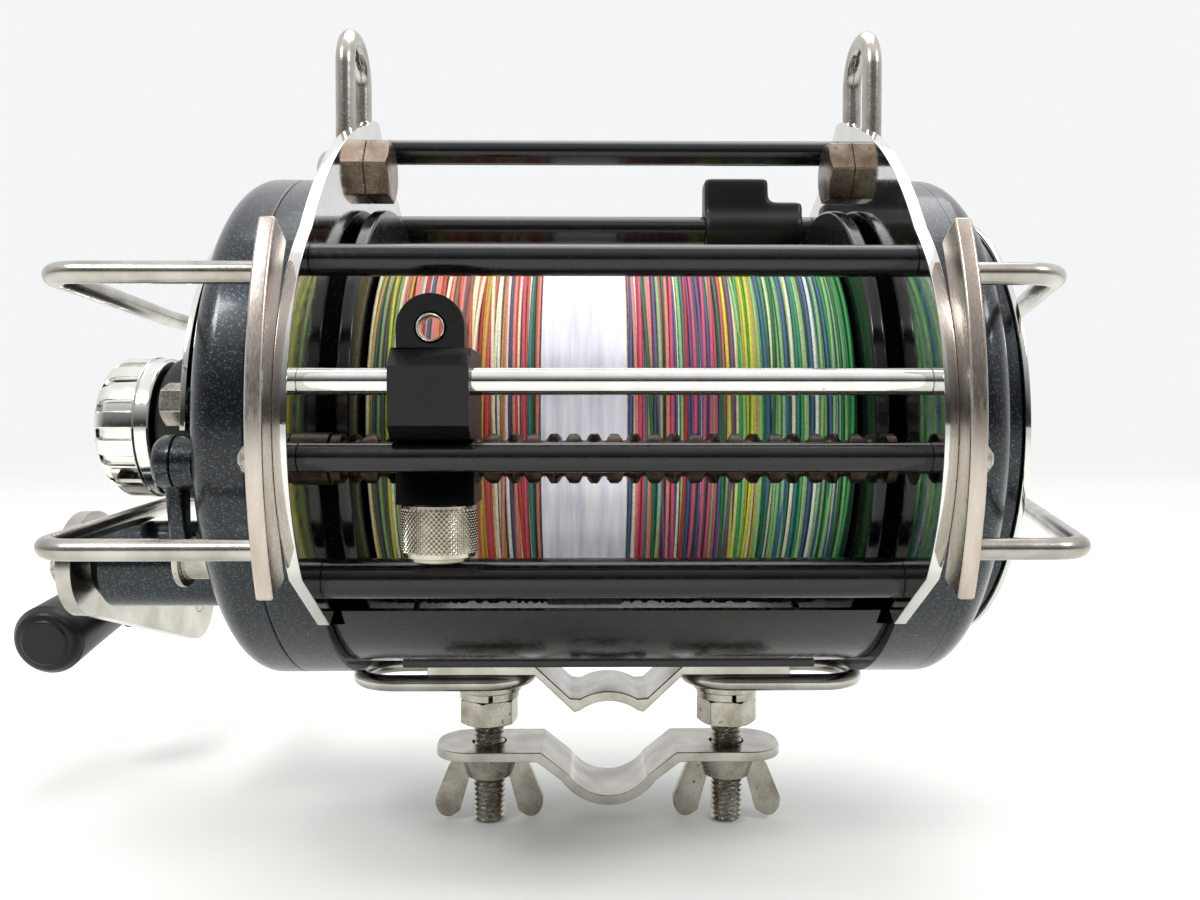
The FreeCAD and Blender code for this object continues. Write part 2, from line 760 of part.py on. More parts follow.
# ------------------------------------------------------------ cross bars
def crossbars():
    """Round bars that tie the guard plates together."""
    bars = {
        "top_bar": (S.bar_radius, -S.top_bar_forward, S.top_bar_rise),
        "front_upper_bar": (S.bar_radius, -S.upper_bar_forward, S.upper_bar_rise),
        "front_lower_bar": (S.bar_radius - 0.25, -S.rod_forward, -S.low_front_drop),
        "guide_rod": (S.rod_radius, -S.rod_forward, S.rod_rise),
        "lower_bar": (S.low_bar_radius, -S.low_bar_forward, -S.low_bar_drop),
        "rear_bar": (S.low_bar_radius, S.rear_bar_back, S.rear_bar_rise),
    }
    made = {}
    for name, (radius, y, rise) in bars.items():
        made[name] = cylinder(name, radius, 2 * S.inner_half, -S.inner_half, y, AXIS + rise)
    keep("guide_rod", made["guide_rod"])
    group("thin_crossbars", [made["top_bar"], made["front_upper_bar"], made["front_lower_bar"]])
    group("thick_crossbars", [made["lower_bar"], made["rear_bar"]])
    rivets = []
    for name, side in SIDES.items():
        profile = [(0, 0), (2.2, 0), (2.0, 1.3), (1.2, 2.4), (0, 3.0)]
        start = side * (PLATE_OUT + S.bar_wall)
        rivet = turned(f"{name}_rivet", profile, start, -S.rod_forward - 9.2, LOW_FRONT_Z, side)
        rivets.append(rivet)
    group("bar_rivets", rivets)


def cradle():
    """The black casting under the spool that joins the sides to the foot."""
    half = PLATE_OUT
    outer_radius = S.foot_drop - S.gap
    inner_radius = outer_radius - S.cradle_wall
    shell = cylinder("cradle_shell", outer_radius, 2 * half, -half, 0, AXIS)
    pad = block("cradle_pad", 2 * half - 20, 26.0, 12.0, -half + 10, -13.0, FOOT_TOP)
    blank = fuse("cradle_blank", shell, pad)
    room = cylinder("cradle_room", inner_radius, 2 * half + 2, -half - 1, 0, AXIS)
    above = block("cradle_above", 2 * half + 2, 140.0, 120.0, -half - 1, -70.0, AXIS - S.plate_foot + 1.5)
    tools = [room, above]
    for name, side in SIDES.items():
        start = side * S.inner_half - (0 if side == FAR else S.plate_wall)
        tools.append(cylinder(f"{name}_cradle_relief", S.plate_low, S.plate_wall, start, 0, AXIS))
        ear = block(f"{name}_cradle_ear_relief", S.plate_wall, 90.0, 8.0, start, -66.0, AXIS - S.plate_foot - 2)
        tools.append(ear)
    keep("spool_cradle", cut("spool_cradle", blank, *tools))


# ----------------------------------------------------------------- spool
def spool_group():
    """Spool, its shaft, the wound line and the two gears on the shaft."""
    half = SPOOL_HALF
    wall = S.flange_wall
    bore = S.shaft_radius + S.running
    spool = turned(
        "spool",
        [
            (-half, bore),
            (half, bore),
            (half, S.flange_radius),
            (half - wall, S.flange_radius),
            (half - wall - 1.0, S.core_radius),
            (-half + wall + 1.0, S.core_radius),
            (-half + wall, S.flange_radius),
            (-half, S.flange_radius),
        ],
        0,
        0,
        AXIS,
    )
    keep("spool", spool)
    shaft_start = -(HANDLE_OUT + S.boot_length + S.gap)
    shaft_end = FAR_OUT - S.web_wall
    keep("spool_shaft", cylinder("spool_shaft", S.shaft_radius, shaft_end - shaft_start, shaft_start, 0, AXIS))
    line_half = half - wall - 1.0 - S.gap
    share = (S.line_radius - S.core_radius) / (S.flange_radius - S.core_radius)
    line = turned(
        "line_pack",
        [
            (-line_half, S.core_radius + S.running),
            (line_half, S.core_radius + S.running),
            (line_half + share * 1.0, S.line_radius),
            (-line_half - share * 1.0, S.line_radius),
        ],
        0,
        0,
        AXIS,
    )
    keep("line_pack", line)
    tape = turned(
        "tape_band",
        [
            (S.tape_low, S.line_radius + S.running),
            (S.tape_high, S.line_radius + S.running),
            (S.tape_high, S.line_radius + S.tape_wall),
            (S.tape_low, S.line_radius + S.tape_wall),
        ],
        0,
        0,
        AXIS,
    )
    keep("tape_band", tape)
    toward_drive = math.degrees(math.atan2(-S.drive_drop.value, -S.drive_back.value))
    toward_worm = math.degrees(math.atan2(-S.worm_drop.value, -S.worm_forward.value))
    pinion_pitch = drive_distance() * TEETH_PINION / (TEETH_PINION + TEETH_MAIN)
    gear("spool_pinion", TEETH_PINION, pinion_pitch, bore, -GEAR_OUT, 0, AXIS, toward_drive)
    gear(
        "level_wind_drive_gear",
        TEETH_SPOOL_DRIVE,
        spool_drive_pitch(),
        bore,
        PLATE_OUT + S.web_wall + 2 * S.gap,
        0,
        AXIS,
        toward_worm,
    )
    discs = []
    for index in range(3):
        disc = turned(
            f"drag_disc_{index}",
            [(0, bore), (1.2, bore), (1.2, 14.0), (0, 14.0)],
            -GEAR_OUT + S.gear_width + S.gap + index * 1.5,
            0,
            AXIS,
        )
        discs.append(disc)
    group("drag_discs", discs)


def bearings():
    """Ball bearings that carry the spool shaft in the side rings."""
    rings = []
    for name, side in SIDES.items():
        ring = turned(
            f"{name}_bearing",
            [
                (0, S.shaft_radius + S.running),
                (S.plate_wall + S.web_wall, S.shaft_radius + S.running),
                (S.plate_wall + S.web_wall, BEARING_RADIUS - 0.02),
                (0, BEARING_RADIUS - 0.02),
            ],
            side * S.inner_half,
            0,
            AXIS,
            side,
        )
        rings.append(ring)
    group("spool_bearings", rings)


# ------------------------------------------------------------- level wind
def level_wind():
    """Worm, its gears and bushings, and the line guide carriage."""
    start = -S.inner_half + 4.0
    gear_x = PLATE_OUT + S.web_wall + 2 * S.gap
    worm = turned(
        "worm_shaft",
        [
            (-S.inner_half + S.gap, 0),
            (gear_x + S.gear_width, 0),
            (gear_x + S.gear_width, S.worm_end_radius),
            (S.inner_half - 4.0, S.worm_end_radius),
            (S.inner_half - 4.0, S.worm_radius),
            (start, S.worm_radius),
            (start, S.worm_end_radius),
            (-S.inner_half + S.gap, S.worm_end_radius),
        ],
        0,
        WORM_Y,
        WORM_Z,
    )
    keep("worm_shaft", worm)
    toward_worm = math.degrees(math.atan2(-S.worm_drop.value, -S.worm_forward.value))
    gear(
        "worm_gear",
        TEETH_WORM,
        worm_pitch(),
        S.worm_end_radius + 0.01,
        gear_x,
        WORM_Y,
        WORM_Z,
        toward_worm + 180,
    )
    idler_y, idler_z = idler_centre()
    half_tooth = 180 / TEETH_IDLER
    gear(
        "idler_gear",
        TEETH_IDLER,
        idler_pitch(),
        S.worm_end_radius + S.running,
        gear_x,
        idler_y,
        idler_z,
        toward_worm + half_tooth,
    )
    keep(
        "idler_pin",
        cylinder(
            "idler_pin",
            S.worm_end_radius,
            S.gear_width + 2 * S.gap,
            PLATE_OUT + S.web_wall,
            idler_y,
            idler_z,
        ),
    )
    far_bush = turned(
        "far_worm_bushing",
        [
            (0, S.worm_end_radius + S.running),
            (S.plate_wall + S.web_wall, S.worm_end_radius + S.running),
            (S.plate_wall + S.web_wall, JOURNAL_HOLE - 0.02),
            (0, JOURNAL_HOLE - 0.02),
        ],
        S.inner_half,
        WORM_Y,
        WORM_Z,
    )
    near_bush = turned(
        "near_worm_bushing",
        [
            (0, S.worm_end_radius + S.running),
            (3.5, S.worm_end_radius + S.running),
            (3.5, JOURNAL_HOLE),
            (0, JOURNAL_HOLE),
        ],
        -S.inner_half,
        WORM_Y,
        WORM_Z,
    )
    group("worm_bushings", [near_bush, far_bush])
    carriage()


def carriage():
    """The line guide: an upper block on the guide rod, a lower block round the worm."""
    width = S.carriage_width
    middle = S.carriage_at
    left = middle - width / 2
    rod_wall = 2.0
    rod_front = ROD_Y - S.rod_radius - rod_wall
    worm_rear = WORM_Y + S.worm_radius + S.carriage_wall
    shelf = LOW_FRONT_Z + S.bar_radius + S.gap
    deck = 6.0
    upper = block("carriage_upper", width, worm_rear - rod_front, ROD_Z + deck - shelf, left, rod_front, shelf)
    behind_bar = ROD_Y + S.bar_radius + S.gap
    floor = WORM_Z - S.worm_radius - 3.6
    lower = block("carriage_lower", width, worm_rear - behind_bar, shelf - floor, left, behind_bar, floor)
    lug_y = ROD_Y - 1.5
    eye_z = ROD_Z + S.lug_rise
    lug = cylinder("carriage_lug", S.lug_radius, S.lug_wall, middle, lug_y, eye_z, ALONG_Y)
    neck_start = ROD_Z + deck - 2.0
    neck = block(
        "carriage_neck",
        2 * S.lug_radius,
        S.lug_wall,
        eye_z - neck_start,
        middle - S.lug_radius,
        lug_y,
        neck_start,
    )
    blank = fuse("carriage_blank", upper, lower, lug, neck)
    rod_hole = cylinder("carriage_rod_hole", S.rod_radius + S.running, width, left, ROD_Y, ROD_Z)
    worm_hole = cylinder("carriage_worm_hole", S.worm_radius + S.running, width, left, WORM_Y, WORM_Z)
    ring_hole = cylinder("carriage_ring_hole", S.eye_radius, S.lug_wall, middle, lug_y, eye_z, ALONG_Y)
    pawl_hole = cylinder("carriage_pawl_hole", S.pawl_radius, 9.0, middle, WORM_Y, floor - 1.0, ALONG_Z)
    keep("line_guide", cut("line_guide", blank, rod_hole, worm_hole, ring_hole, pawl_hole))
    eye_y = lug_y - (S.eye_length - S.lug_wall) / 2
    eye = cylinder("eye_outer", S.eye_radius - 0.02, S.eye_length, middle, eye_y, eye_z, ALONG_Y)
    eye_hole = cylinder("eye_inner", S.eye_bore, S.eye_length, middle, eye_y, eye_z, ALONG_Y)
    keep("guide_ring", cut("guide_ring", eye, eye_hole))
    pawl_top = WORM_Z - S.worm_radius - S.gap
    keep("pawl", cylinder("pawl", S.pawl_radius - S.running, pawl_top - floor, middle, WORM_Y, floor, ALONG_Z))
    cap_top = floor - S.pawl_cap_height
    cap = cylinder("pawl_cap_body", S.pawl_cap_radius, S.pawl_cap_height, middle, WORM_Y, cap_top, ALONG_Z)
    cap_end = cap_top - S.pawl_cap_lip
    cap_base = cylinder("pawl_cap_end", S.pawl_cap_radius - 1.5, S.pawl_cap_lip, middle, WORM_Y, cap_end, ALONG_Z)
    keep("pawl_cap", fuse("pawl_cap", cap, cap_base))


# ------------------------------------------------------------ handle side
def handle_side_trim():
    """Bright disc on its stand-offs, the rubber boot and small bosses."""
    disc_x = -(HANDLE_OUT + S.disc_standoff + S.disc_wall)
    round_disc = cylinder("disc_round", S.disc_radius, S.disc_wall, disc_x, 0, AXIS)
    below = block(
        "disc_below",
        S.disc_wall,
        2 * S.disc_radius,
        S.disc_radius,
        disc_x,
        -S.disc_radius,
        AXIS - S.disc_cut - S.disc_radius,
    )
    centre = cylinder("disc_centre", S.boot_radius + S.gap, S.disc_wall, disc_x, 0, AXIS)
    keep("handle_side_disc", cut("handle_side_disc", round_disc, below, centre))
    spacers = []
    nuts = []
    post = S.disc_radius - 5.2
    for index, angle in enumerate((174.0, 90.0, 6.0)):
        y = post * math.cos(math.radians(angle))
        z = AXIS + post * math.sin(math.radians(angle))
        spacer_x = -HANDLE_OUT - S.disc_standoff
        spacers.append(cylinder(f"disc_spacer_{index}", 4.0, S.disc_standoff, spacer_x, y, z))
        nuts.append(prism(f"disc_nut_{index}", Size.of(8.0), 4.8, disc_x - 4.8, y, z))
    group("disc_spacers", spacers)
    group("disc_nuts", nuts)
    boot = turned(
        "rubber_boot",
        [
            (0, S.shaft_radius + S.gap),
            (S.boot_length, S.shaft_radius + S.gap),
            (S.boot_length, S.boot_step_radius - 2.5),
            (S.boot_length * 0.62, S.boot_step_radius),
            (S.boot_length * 0.56, S.boot_radius - 1.5),
            (S.boot_length * 0.2, S.boot_radius),
            (0, S.boot_radius),
        ],
        -HANDLE_OUT,
        0,
        AXIS,
        HANDLE,
    )
    keep("rubber_boot", boot)
    knob = turned(
        "drag_knob",
        [
            (0, 0),
            (S.knob_length, 0),
            (S.knob_length, S.knob_radius - 3.0),
            (S.knob_length - 2.5, S.knob_radius),
            (0, S.knob_radius),
        ],
        -(HANDLE_OUT + S.boot_length + 2 * S.gap),
        0,
        AXIS,
        HANDLE,
    )
    keep("drag_knob", knob)
    tube_length = S.housing_tube_end - HANDLE_OUT + S.handle_cover_length - 2.0
    bore = S.crank_radius + 3.0
    tube = turned(
        "handle_shaft_tube",
        [
            (tube_length - S.housing_tube_end + HANDLE_OUT - S.web_wall - 1.0, bore),
            (tube_length, bore),
            (tube_length, S.housing_tube_radius - 3.0),
            (tube_length - 3.0, S.housing_tube_radius - 0.02),
            (tube_length - S.housing_tube_end + HANDLE_OUT - S.web_wall - 1.0, S.housing_tube_radius - 0.02),
        ],
        -(S.housing_tube_end - tube_length),
        DRIVE_Y,
        DRIVE_Z,
        HANDLE,
    )
    keep("handle_shaft_tube", tube)
    sleeves = []
    for index, start in enumerate((S.housing_tube_end - 8.0, HANDLE_OUT - S.web_wall)):
        sleeve = turned(
            f"handle_bearing_{index}",
            [
                (0, S.crank_radius + S.running),
                (6.0, S.crank_radius + S.running),
                (6.0, bore - 0.02),
                (0, bore - 0.02),
            ],
            -start,
            DRIVE_Y,
            DRIVE_Z,
            HANDLE,
        )
        sleeves.append(sleeve)
    group("handle_shaft_bearings", sleeves)
    lever_y = -S.clutch_forward
    lever_z = AXIS - S.clutch_drop
    blade_width = 5.6
    blade_end = lever_z - S.clutch_reach
    blade_reach = S.clutch_reach - 2.0
    hub_x = -HANDLE_OUT - S.boss_length - S.gap
    blade_y = lever_y - blade_width / 2
    pivot = cylinder("clutch_pivot_barrel", S.clutch_radius, S.boss_length, hub_x, lever_y, lever_z)
    blade = block("clutch_blade", 3.6, blade_width, blade_reach, hub_x + 2.0, blade_y, blade_end)
    keep("clutch_lever", fuse("clutch_lever", pivot, blade))
    boss_x = -HANDLE_OUT - S.boss_length
    boss_y = -S.bushing_forward
    boss_z = AXIS - S.bushing_drop
    flange = cylinder("bushing_flange", 6.3, 1.4, boss_x, boss_y, boss_z)
    barrel = cylinder("bushing_barrel", 4.6, S.boss_length, boss_x, boss_y, boss_z)
    keep("flanged_bushing", fuse("flanged_bushing", flange, barrel))


def crank():
    """Handle shaft, main gear, crank arm, nut, grip post and the T grip."""
    toward_spool = math.degrees(math.atan2(S.drive_drop.value, S.drive_back.value))
    main_pitch = drive_distance() * TEETH_MAIN / (TEETH_PINION + TEETH_MAIN)
    bore = S.crank_radius + 0.01
    half_tooth = 180 / TEETH_MAIN
    gear("main_gear", TEETH_MAIN, main_pitch, bore, -GEAR_OUT, DRIVE_Y, DRIVE_Z, toward_spool + half_tooth)
    arm_x = -(S.housing_tube_end + 2.0)
    shaft_end = arm_x - S.crank_wall
    shaft_start = -(GEAR_OUT - S.gear_width - 2.0)
    keep(
        "handle_shaft",
        cylinder("handle_shaft", S.crank_radius, shaft_start - shaft_end, shaft_end, DRIVE_Y, DRIVE_Z),
    )
    hub = cylinder("arm_hub", S.crank_hub_radius, S.crank_wall, shaft_end, DRIVE_Y, DRIVE_Z)
    post_y = DRIVE_Y + S.crank_length * cosine(S.crank_angle)
    post_z = DRIVE_Z + S.crank_length * sine(S.crank_angle)
    end = cylinder("arm_end", S.crank_half_width, S.crank_wall, shaft_end, post_y, post_z)
    bar = block("arm_bar", S.crank_wall, S.crank_length, 2 * S.crank_half_width)
    shift_y = S.crank_half_width * sine(S.crank_angle)
    shift_z = S.crank_half_width * cosine(S.crank_angle)
    place(bar, shaft_end, DRIVE_Y + shift_y, DRIVE_Z - shift_z, Rotation(Vector(1, 0, 0), S.crank_angle.value))
    bar.setExpression("Placement.Rotation.Angle", f"{S.crank_angle.text} * 1 deg")
    blank = fuse("arm_blank", hub, end, bar)
    hub_hole = cylinder("arm_hub_hole", S.crank_radius + 0.01, S.crank_wall, shaft_end, DRIVE_Y, DRIVE_Z)
    end_hole = cylinder("arm_end_hole", S.post_radius + 0.01, S.crank_wall, shaft_end, post_y, post_z)
    keep("crank_arm", cut("crank_arm", blank, hub_hole, end_hole))
    nut = prism("crank_nut_hex", S.nut_flats - 3, 5.0, shaft_end - 5.0, DRIVE_Y, DRIVE_Z)
    keep("crank_nut", nut)
    grip_x = shaft_end - S.grip_offset
    keep(
        "grip_post",
        cylinder("grip_post", S.post_radius, S.grip_offset + 2.0 + S.crank_wall, grip_x - 2.0, post_y, post_z),
    )
    tilt = Rotation(Vector(1, 0, 0), S.grip_tilt.value)
    half = S.grip_length / 2
    bar = cylinder("grip_bar", S.grip_radius, S.grip_length)
    turn = tilt.multiply(ALONG_Y)
    place(bar, grip_x, post_y - half * cosine(S.grip_tilt), post_z - half * sine(S.grip_tilt), turn)
    neck = cylinder("grip_neck", 7.0, S.grip_offset - S.gap - 1.0, grip_x, post_y, post_z)
    blank = fuse("grip_blank", bar, neck)
    room = cylinder("grip_room", S.post_radius + S.running, S.grip_offset + 2.4, grip_x - 2.4, post_y, post_z)
    keep("handle_grip", cut("handle_grip", blank, room))


# --------------------------------------------------------- foot and clamp
def foot():
    """Bent foot strip, its wire loops, studs and their fasteners."""
    wall = S.foot_wall
    bend = S.foot_bend
    valley = S.foot_valley
    arch_side = S.arch_half
    arch_under = root(S.seat_radius * S.seat_radius - arch_side * arch_side)
    arch_top = root((S.seat_radius + wall) * (S.seat_radius + wall) - arch_side * arch_side)
    outline = [
        (-S.foot_half, FOOT_UNDER),
        (-bend, FOOT_UNDER),
        (-valley, arch_under - 0.4),
        (-arch_side, arch_under, -S.seat_radius),
        (arch_side, arch_under),
        (valley, arch_under - 0.4),
        (bend, FOOT_UNDER),
        (S.foot_half, FOOT_UNDER),
        (S.foot_half, FOOT_TOP),
        (bend, FOOT_TOP),
        (valley + 1.0, arch_top + 0.2),
        (arch_side, arch_top, S.seat_radius + wall),
        (-arch_side, arch_top),
        (-valley - 1.0, arch_top + 0.2),
        (-bend, FOOT_TOP),
        (-S.foot_half, FOOT_TOP),
    ]
    strip = plate("foot_strip", outline, S.foot_depth, 0, S.foot_depth / 2, 0, role="XZ_Plane")
    studs = []
    holes = []
    washers = []
    springs = []
    nuts = []
    loops = []
    loop_z = FOOT_UNDER - S.loop_wire / 2 - 0.02
    washer_top = FOOT_UNDER - S.loop_wire - 0.04
    for name, side in SIDES.items():
        x = side * S.stud_half_span
        stud_length = FOOT_TOP + S.stud_end
        studs.append(cylinder(f"{name}_stud", S.stud_radius, stud_length, x, 0, -S.stud_end, ALONG_Z))
        holes.append(
            cylinder(f"{name}_stud_hole", S.stud_radius + S.running, wall + 2, x, 0, FOOT_UNDER - 1, ALONG_Z)
        )
        bore = S.stud_radius + S.running
        washer_z = washer_top - S.washer_wall
        spring_z = washer_z - S.spring_wall
        washers.append(flat_ring(f"{name}_washer", S.washer_radius, bore, S.washer_wall, x, washer_z))
        springs.append(flat_ring(f"{name}_spring_washer", 7.6, bore, S.spring_wall, x, spring_z))
        nut_z = washer_top - S.washer_wall - S.spring_wall - S.nut_height
        hexagon = prism(f"{name}_stud_hex", S.nut_flats, S.nut_height, x, 0, nut_z, ALONG_Z)
        bore_bar = cylinder(f"{name}_stud_nut_bore", bore, S.nut_height, x, 0, nut_z, ALONG_Z)
        nuts.append(cut(f"{name}_stud_nut", hexagon, bore_bar))
        loops.append(stadium(f"{name}_foot_loop", side, loop_z))
    keep("foot_plate", cut("foot_plate", strip, *holes))
    group("clamp_studs", studs)
    group("stud_washers", washers + springs)
    group("stud_nuts", nuts)
    group("foot_loops", loops)


def flat_ring(name, outer, inner, height, x, z):
    rim = cylinder(f"{name}_rim", outer, height, x, 0, z, ALONG_Z)
    bore = cylinder(f"{name}_bore", inner, height, x, 0, z, ALONG_Z)
    return cut(name, rim, bore)


def stadium(name, side, z):
    """A closed wire loop with straight sides and round ends, lying flat."""
    wire = S.loop_wire / 2
    reach = S.foot_loop_reach
    near = S.foot_loop_near
    far = S.foot_loop_far
    parts = []
    for index, (x, start) in enumerate(((near, 90.0), (far, -90.0))):
        end = DOC.addObject("Part::Torus", f"{name}_end_{index}")
        end.Angle3 = 180
        bind(end, Radius1=reach, Radius2=wire)
        turn = start if side == FAR else start + 180
        place(end, side * x, 0, z, Rotation(Vector(0, 0, 1), turn))
        parts.append(end)
    for index, y in enumerate((-reach, reach)):
        start = side * near if side == FAR else side * far
        parts.append(cylinder(f"{name}_run_{index}", wire, far - near, start, y, z))
    return fuse(name, *parts)


def clamp():
    """The lower clamp plate and its wing nuts."""
    wall = S.foot_wall
    top = -S.clamp_drop
    under = top - wall
    bend = S.clamp_bend
    inner = S.seat_radius
    outer = inner + wall
    wrap = Size.of(35.0)
    grip_side = inner * cosine(wrap)
    grip_low = inner * sine(wrap)
    outer_side = outer * cosine(wrap)
    outer_low = outer * sine(wrap)
    outline = [
        (-S.clamp_half, under),
        (-bend, under),
        (-outer_side, -outer_low, outer),
        (0.0, -outer, outer),
        (outer_side, -outer_low),
        (bend, under),
        (S.clamp_half, under),
        (S.clamp_half, top),
        (bend - 1.0, top),
        (grip_side, -grip_low, -inner),
        (0.0, -inner, -inner),
        (-grip_side, -grip_low),
        (-bend + 1.0, top),
        (-S.clamp_half, top),
    ]
    strip = plate("clamp_strip", outline, S.clamp_depth, 0, S.clamp_depth / 2, 0, role="XZ_Plane")
    holes = []
    for name, side in SIDES.items():
        x = side * S.stud_half_span
        holes.append(
            cylinder(f"{name}_clamp_hole", S.stud_radius + S.gap, wall + 2, x, 0, under - 1, ALONG_Z)
        )
    keep("clamp_plate", cut("clamp_plate", strip, *holes))
    for name, side in SIDES.items():
        keep(f"{name}_wing_nut", wing_nut(f"{name}_wing_nut", side * S.stud_half_span, under))


def wing_nut(name, x, top):
    """A wing nut, wings down and outwards, hub against the clamp plate."""
    hub = DOC.addObject("Part::Cone", f"{name}_hub")
    bind(hub, Radius1=5.6, Radius2=7.6, Height=6.0)
    place(hub, x, 0, top - 6.0)
    wings = []
    for index, side in enumerate((HANDLE, FAR)):
        body = plate(
            f"{name}_wing_{index}",
            [
                (side * 4.8, -0.6),
                (side * 9.4, -1.6),
                (side * 14.2, -13.4),
                (side * 11.0, -17.4),
                (side * 7.4, -15.0),
                (side * 4.8, -5.4),
            ],
            2.6,
            x,
            1.3,
            top,
            role="XZ_Plane",
        )
        wings.append(body)
    blank = fuse(f"{name}_blank", hub, *wings)
    bore = cylinder(f"{name}_bore", S.stud_radius + S.running, 20.0, x, 0, top - 18.0, ALONG_Z)
    return cut(name, blank, bore)


# ------------------------------------------------------------ wire guards
def carrier_bars():
    """Curved flat bars, front and rear, that hold the hoops off the plates."""
    inner = S.carrier_inner
    outer = S.carrier_outer
    rear_inner = S.housing_radius + S.gap
    rear_outer = S.plate_rear + 3.6
    bars = []
    for name, side in SIDES.items():
        start = side * PLATE_OUT
        bars.append(sector(f"{name}_front_bar", inner, outer, 180 - 26, 180 + 21, start, side))
        bars.append(sector(f"{name}_rear_bar", rear_inner, rear_outer, -21, 28, start, side))
    group("carrier_bars", bars)


def sector(name, inner, outer, first, last, x, side):
    """Part of a flat ring between two angles, measured from +Y towards +Z."""
    corners = []
    ends = ((outer, first, outer), (outer, last, None), (inner, last, -inner), (inner, first, None))
    for radius, angle, bulge in ends:
        y = radius * math.cos(math.radians(angle))
        z = radius * math.sin(math.radians(angle))
        corners.append((y, z) if bulge is None else (y, z, bulge))
    return plate(name, corners, S.bar_wall, x, 0, AXIS, side=side)


def hoops():
    """Four wire hoops: out from the front bar, back along the housing, in to the rear bar."""
    reaches = {
        "handle_side": (S.handle_upper_reach, S.handle_lower_reach),
        "far_side": (S.far_upper_reach, S.far_lower_reach),
    }
    flares = {"handle_side": S.handle_flare, "far_side": S.far_flare}
    start = PLATE_OUT + S.bar_wall
    for side_name, side in SIDES.items():
        pair = []
        flare = S.hoop_forward * sine(flares[side_name]) / cosine(flares[side_name])
        levels = zip(("upper", "lower"), (S.upper_rise, -S.lower_drop), reaches[side_name])
        for level, rise, reach in levels:
            reach = reach - S.hoop_wire / 2
            depth = S.hoop_forward + root(S.plate_rear * S.plate_rear - rise * rise)
            path = [
                (side * start, 0),
                (side * reach, 0),
                (side * (reach + flare), S.hoop_forward),
                (side * (reach + flare), depth),
                (side * start, depth),
            ]
            hoop = bent_wire(
                f"{side_name}_{level}_hoop",
                path,
                S.hoop_wire,
                S.hoop_bend,
                "XY_Plane",
                0,
                -S.hoop_forward,
                AXIS + rise,
            )
            if level == "lower":
                hoop.Placement.Rotation = Rotation(Vector(1, 0, 0), S.lower_tilt.value)
                hoop.setExpression("Placement.Rotation.Angle", f"{S.lower_tilt.text} * 1 deg")
            pair.append(hoop)
        group(f"{side_name}_hoops", pair)


def harness():
    """U loops for a fighting harness, with the bolts that hold them."""
    bolts = []
    nuts = []
    loops = []
    for name, side in SIDES.items():
        x = side * (PLATE_OUT + S.harness_wire / 2 + 0.02)
        legs = S.harness_half_gap
        low = S.bolt_rise + S.stud_radius + S.gap
        middle = -S.bolt_forward + 5.5
        path = [
            (middle - legs, low),
            (middle - legs, S.harness_top - S.harness_wire / 2),
            (middle + legs, S.harness_top - S.harness_wire / 2),
            (middle + legs, low),
        ]
        loop = bent_wire(f"{name}_harness_loop", path, S.harness_wire, legs - 0.5, "YZ_Plane", x, 0, AXIS)
        loops.append(loop)
        y = -S.bolt_forward
        z = AXIS + S.bolt_rise
        head_x = side * S.inner_half - (5.6 if side == FAR else 0)
        head = prism(f"{name}_bolt_head", S.nut_flats, 5.6, head_x, y, z)
        length = S.plate_wall + 14.0
        shank_x = side * S.inner_half - (0 if side == FAR else length)
        shank = cylinder(f"{name}_bolt_shank", S.stud_radius, length, shank_x, y, z)
        bolts.append(fuse(f"{name}_harness_bolt", head, shank))
        nut_x = side * (PLATE_OUT + S.harness_wire + 0.2) - (0 if side == FAR else 5.0)
        ring = cylinder(f"{name}_nut_round", S.stud_radius + 1.0, 5.0, nut_x, y, z)
        ring_bore = cylinder(f"{name}_nut_round_bore", S.stud_radius + 0.02, 5.0, nut_x, y, z)
        nuts.append(cut(f"{name}_harness_nut", ring, ring_bore))
    group("harness_loops", loops)
    group("harness_bolts", bolts)
    group("harness_nuts", nuts)


def thumb_lever():
    """The line brake lever that rides on the rear bar."""
    y = S.rear_bar_back
    z = AXIS + S.rear_bar_rise
    start = S.lever_start
    step = start + S.lever_width
    hub_radius = S.low_bar_radius + S.lever_wall
    tongue_y = y - S.lever_depth / 2
    hub = cylinder("lever_hub", hub_radius, S.lever_width, start, y, z)
    tongue = block("lever_tongue", S.lever_width, S.lever_depth, S.lever_rise, start, tongue_y, z)
    bump = cylinder("lever_bump_hub", hub_radius, S.bump_width, step, y, z)
    bump_top = block("lever_bump", S.bump_width, S.lever_depth, S.bump_rise, step, tongue_y, z)
    blank = fuse("lever_blank", hub, tongue, bump, bump_top)
    bore_length = S.lever_width + S.bump_width
    bore = cylinder("lever_bore", S.low_bar_radius + S.running, bore_length, start, y, z)
    keep("thumb_lever", cut("thumb_lever", blank, bore))


def check_and_write():
    """Stop on any failed object, then write every piece."""
    DOC.recompute()
    for item in DOC.Objects:
        if any(state in ("Invalid", "Error") for state in item.State):
            raise RuntimeError(f"{item.Name} failed: {item.State}")
    os.makedirs("parts", exist_ok=True)
    for name, item in NODES.items():
        shape = item.Shape
        if shape.isNull() or not shape.isValid() or not shape.Solids:
            raise RuntimeError(f"{name} has no valid solid")
        shape.exportStep(f"parts/{name}.step")
    print(len(NODES), "pieces written")


guard_plates()
side_rings()
covers()
far_side_trim()
crossbars()
cradle()
spool_group()
bearings()
level_wind()
handle_side_trim()
crank()
foot()
clamp()
carrier_bars()
hoops()
harness()
thumb_lever()
check_and_write()
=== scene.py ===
"""Looks for a level-wind trolling reel: its finishes, wound line, thread forms and knurling.

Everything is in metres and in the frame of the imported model: +Z up, +X along the spool
away from the crank, +Y to the rear.
"""
import json
import logging
import math
import random
from dataclasses import dataclass, field
from enum import Enum
from typing import Callable, Iterable, Sequence

import bmesh
import bpy
import numpy as np
from mathutils import Matrix, Vector


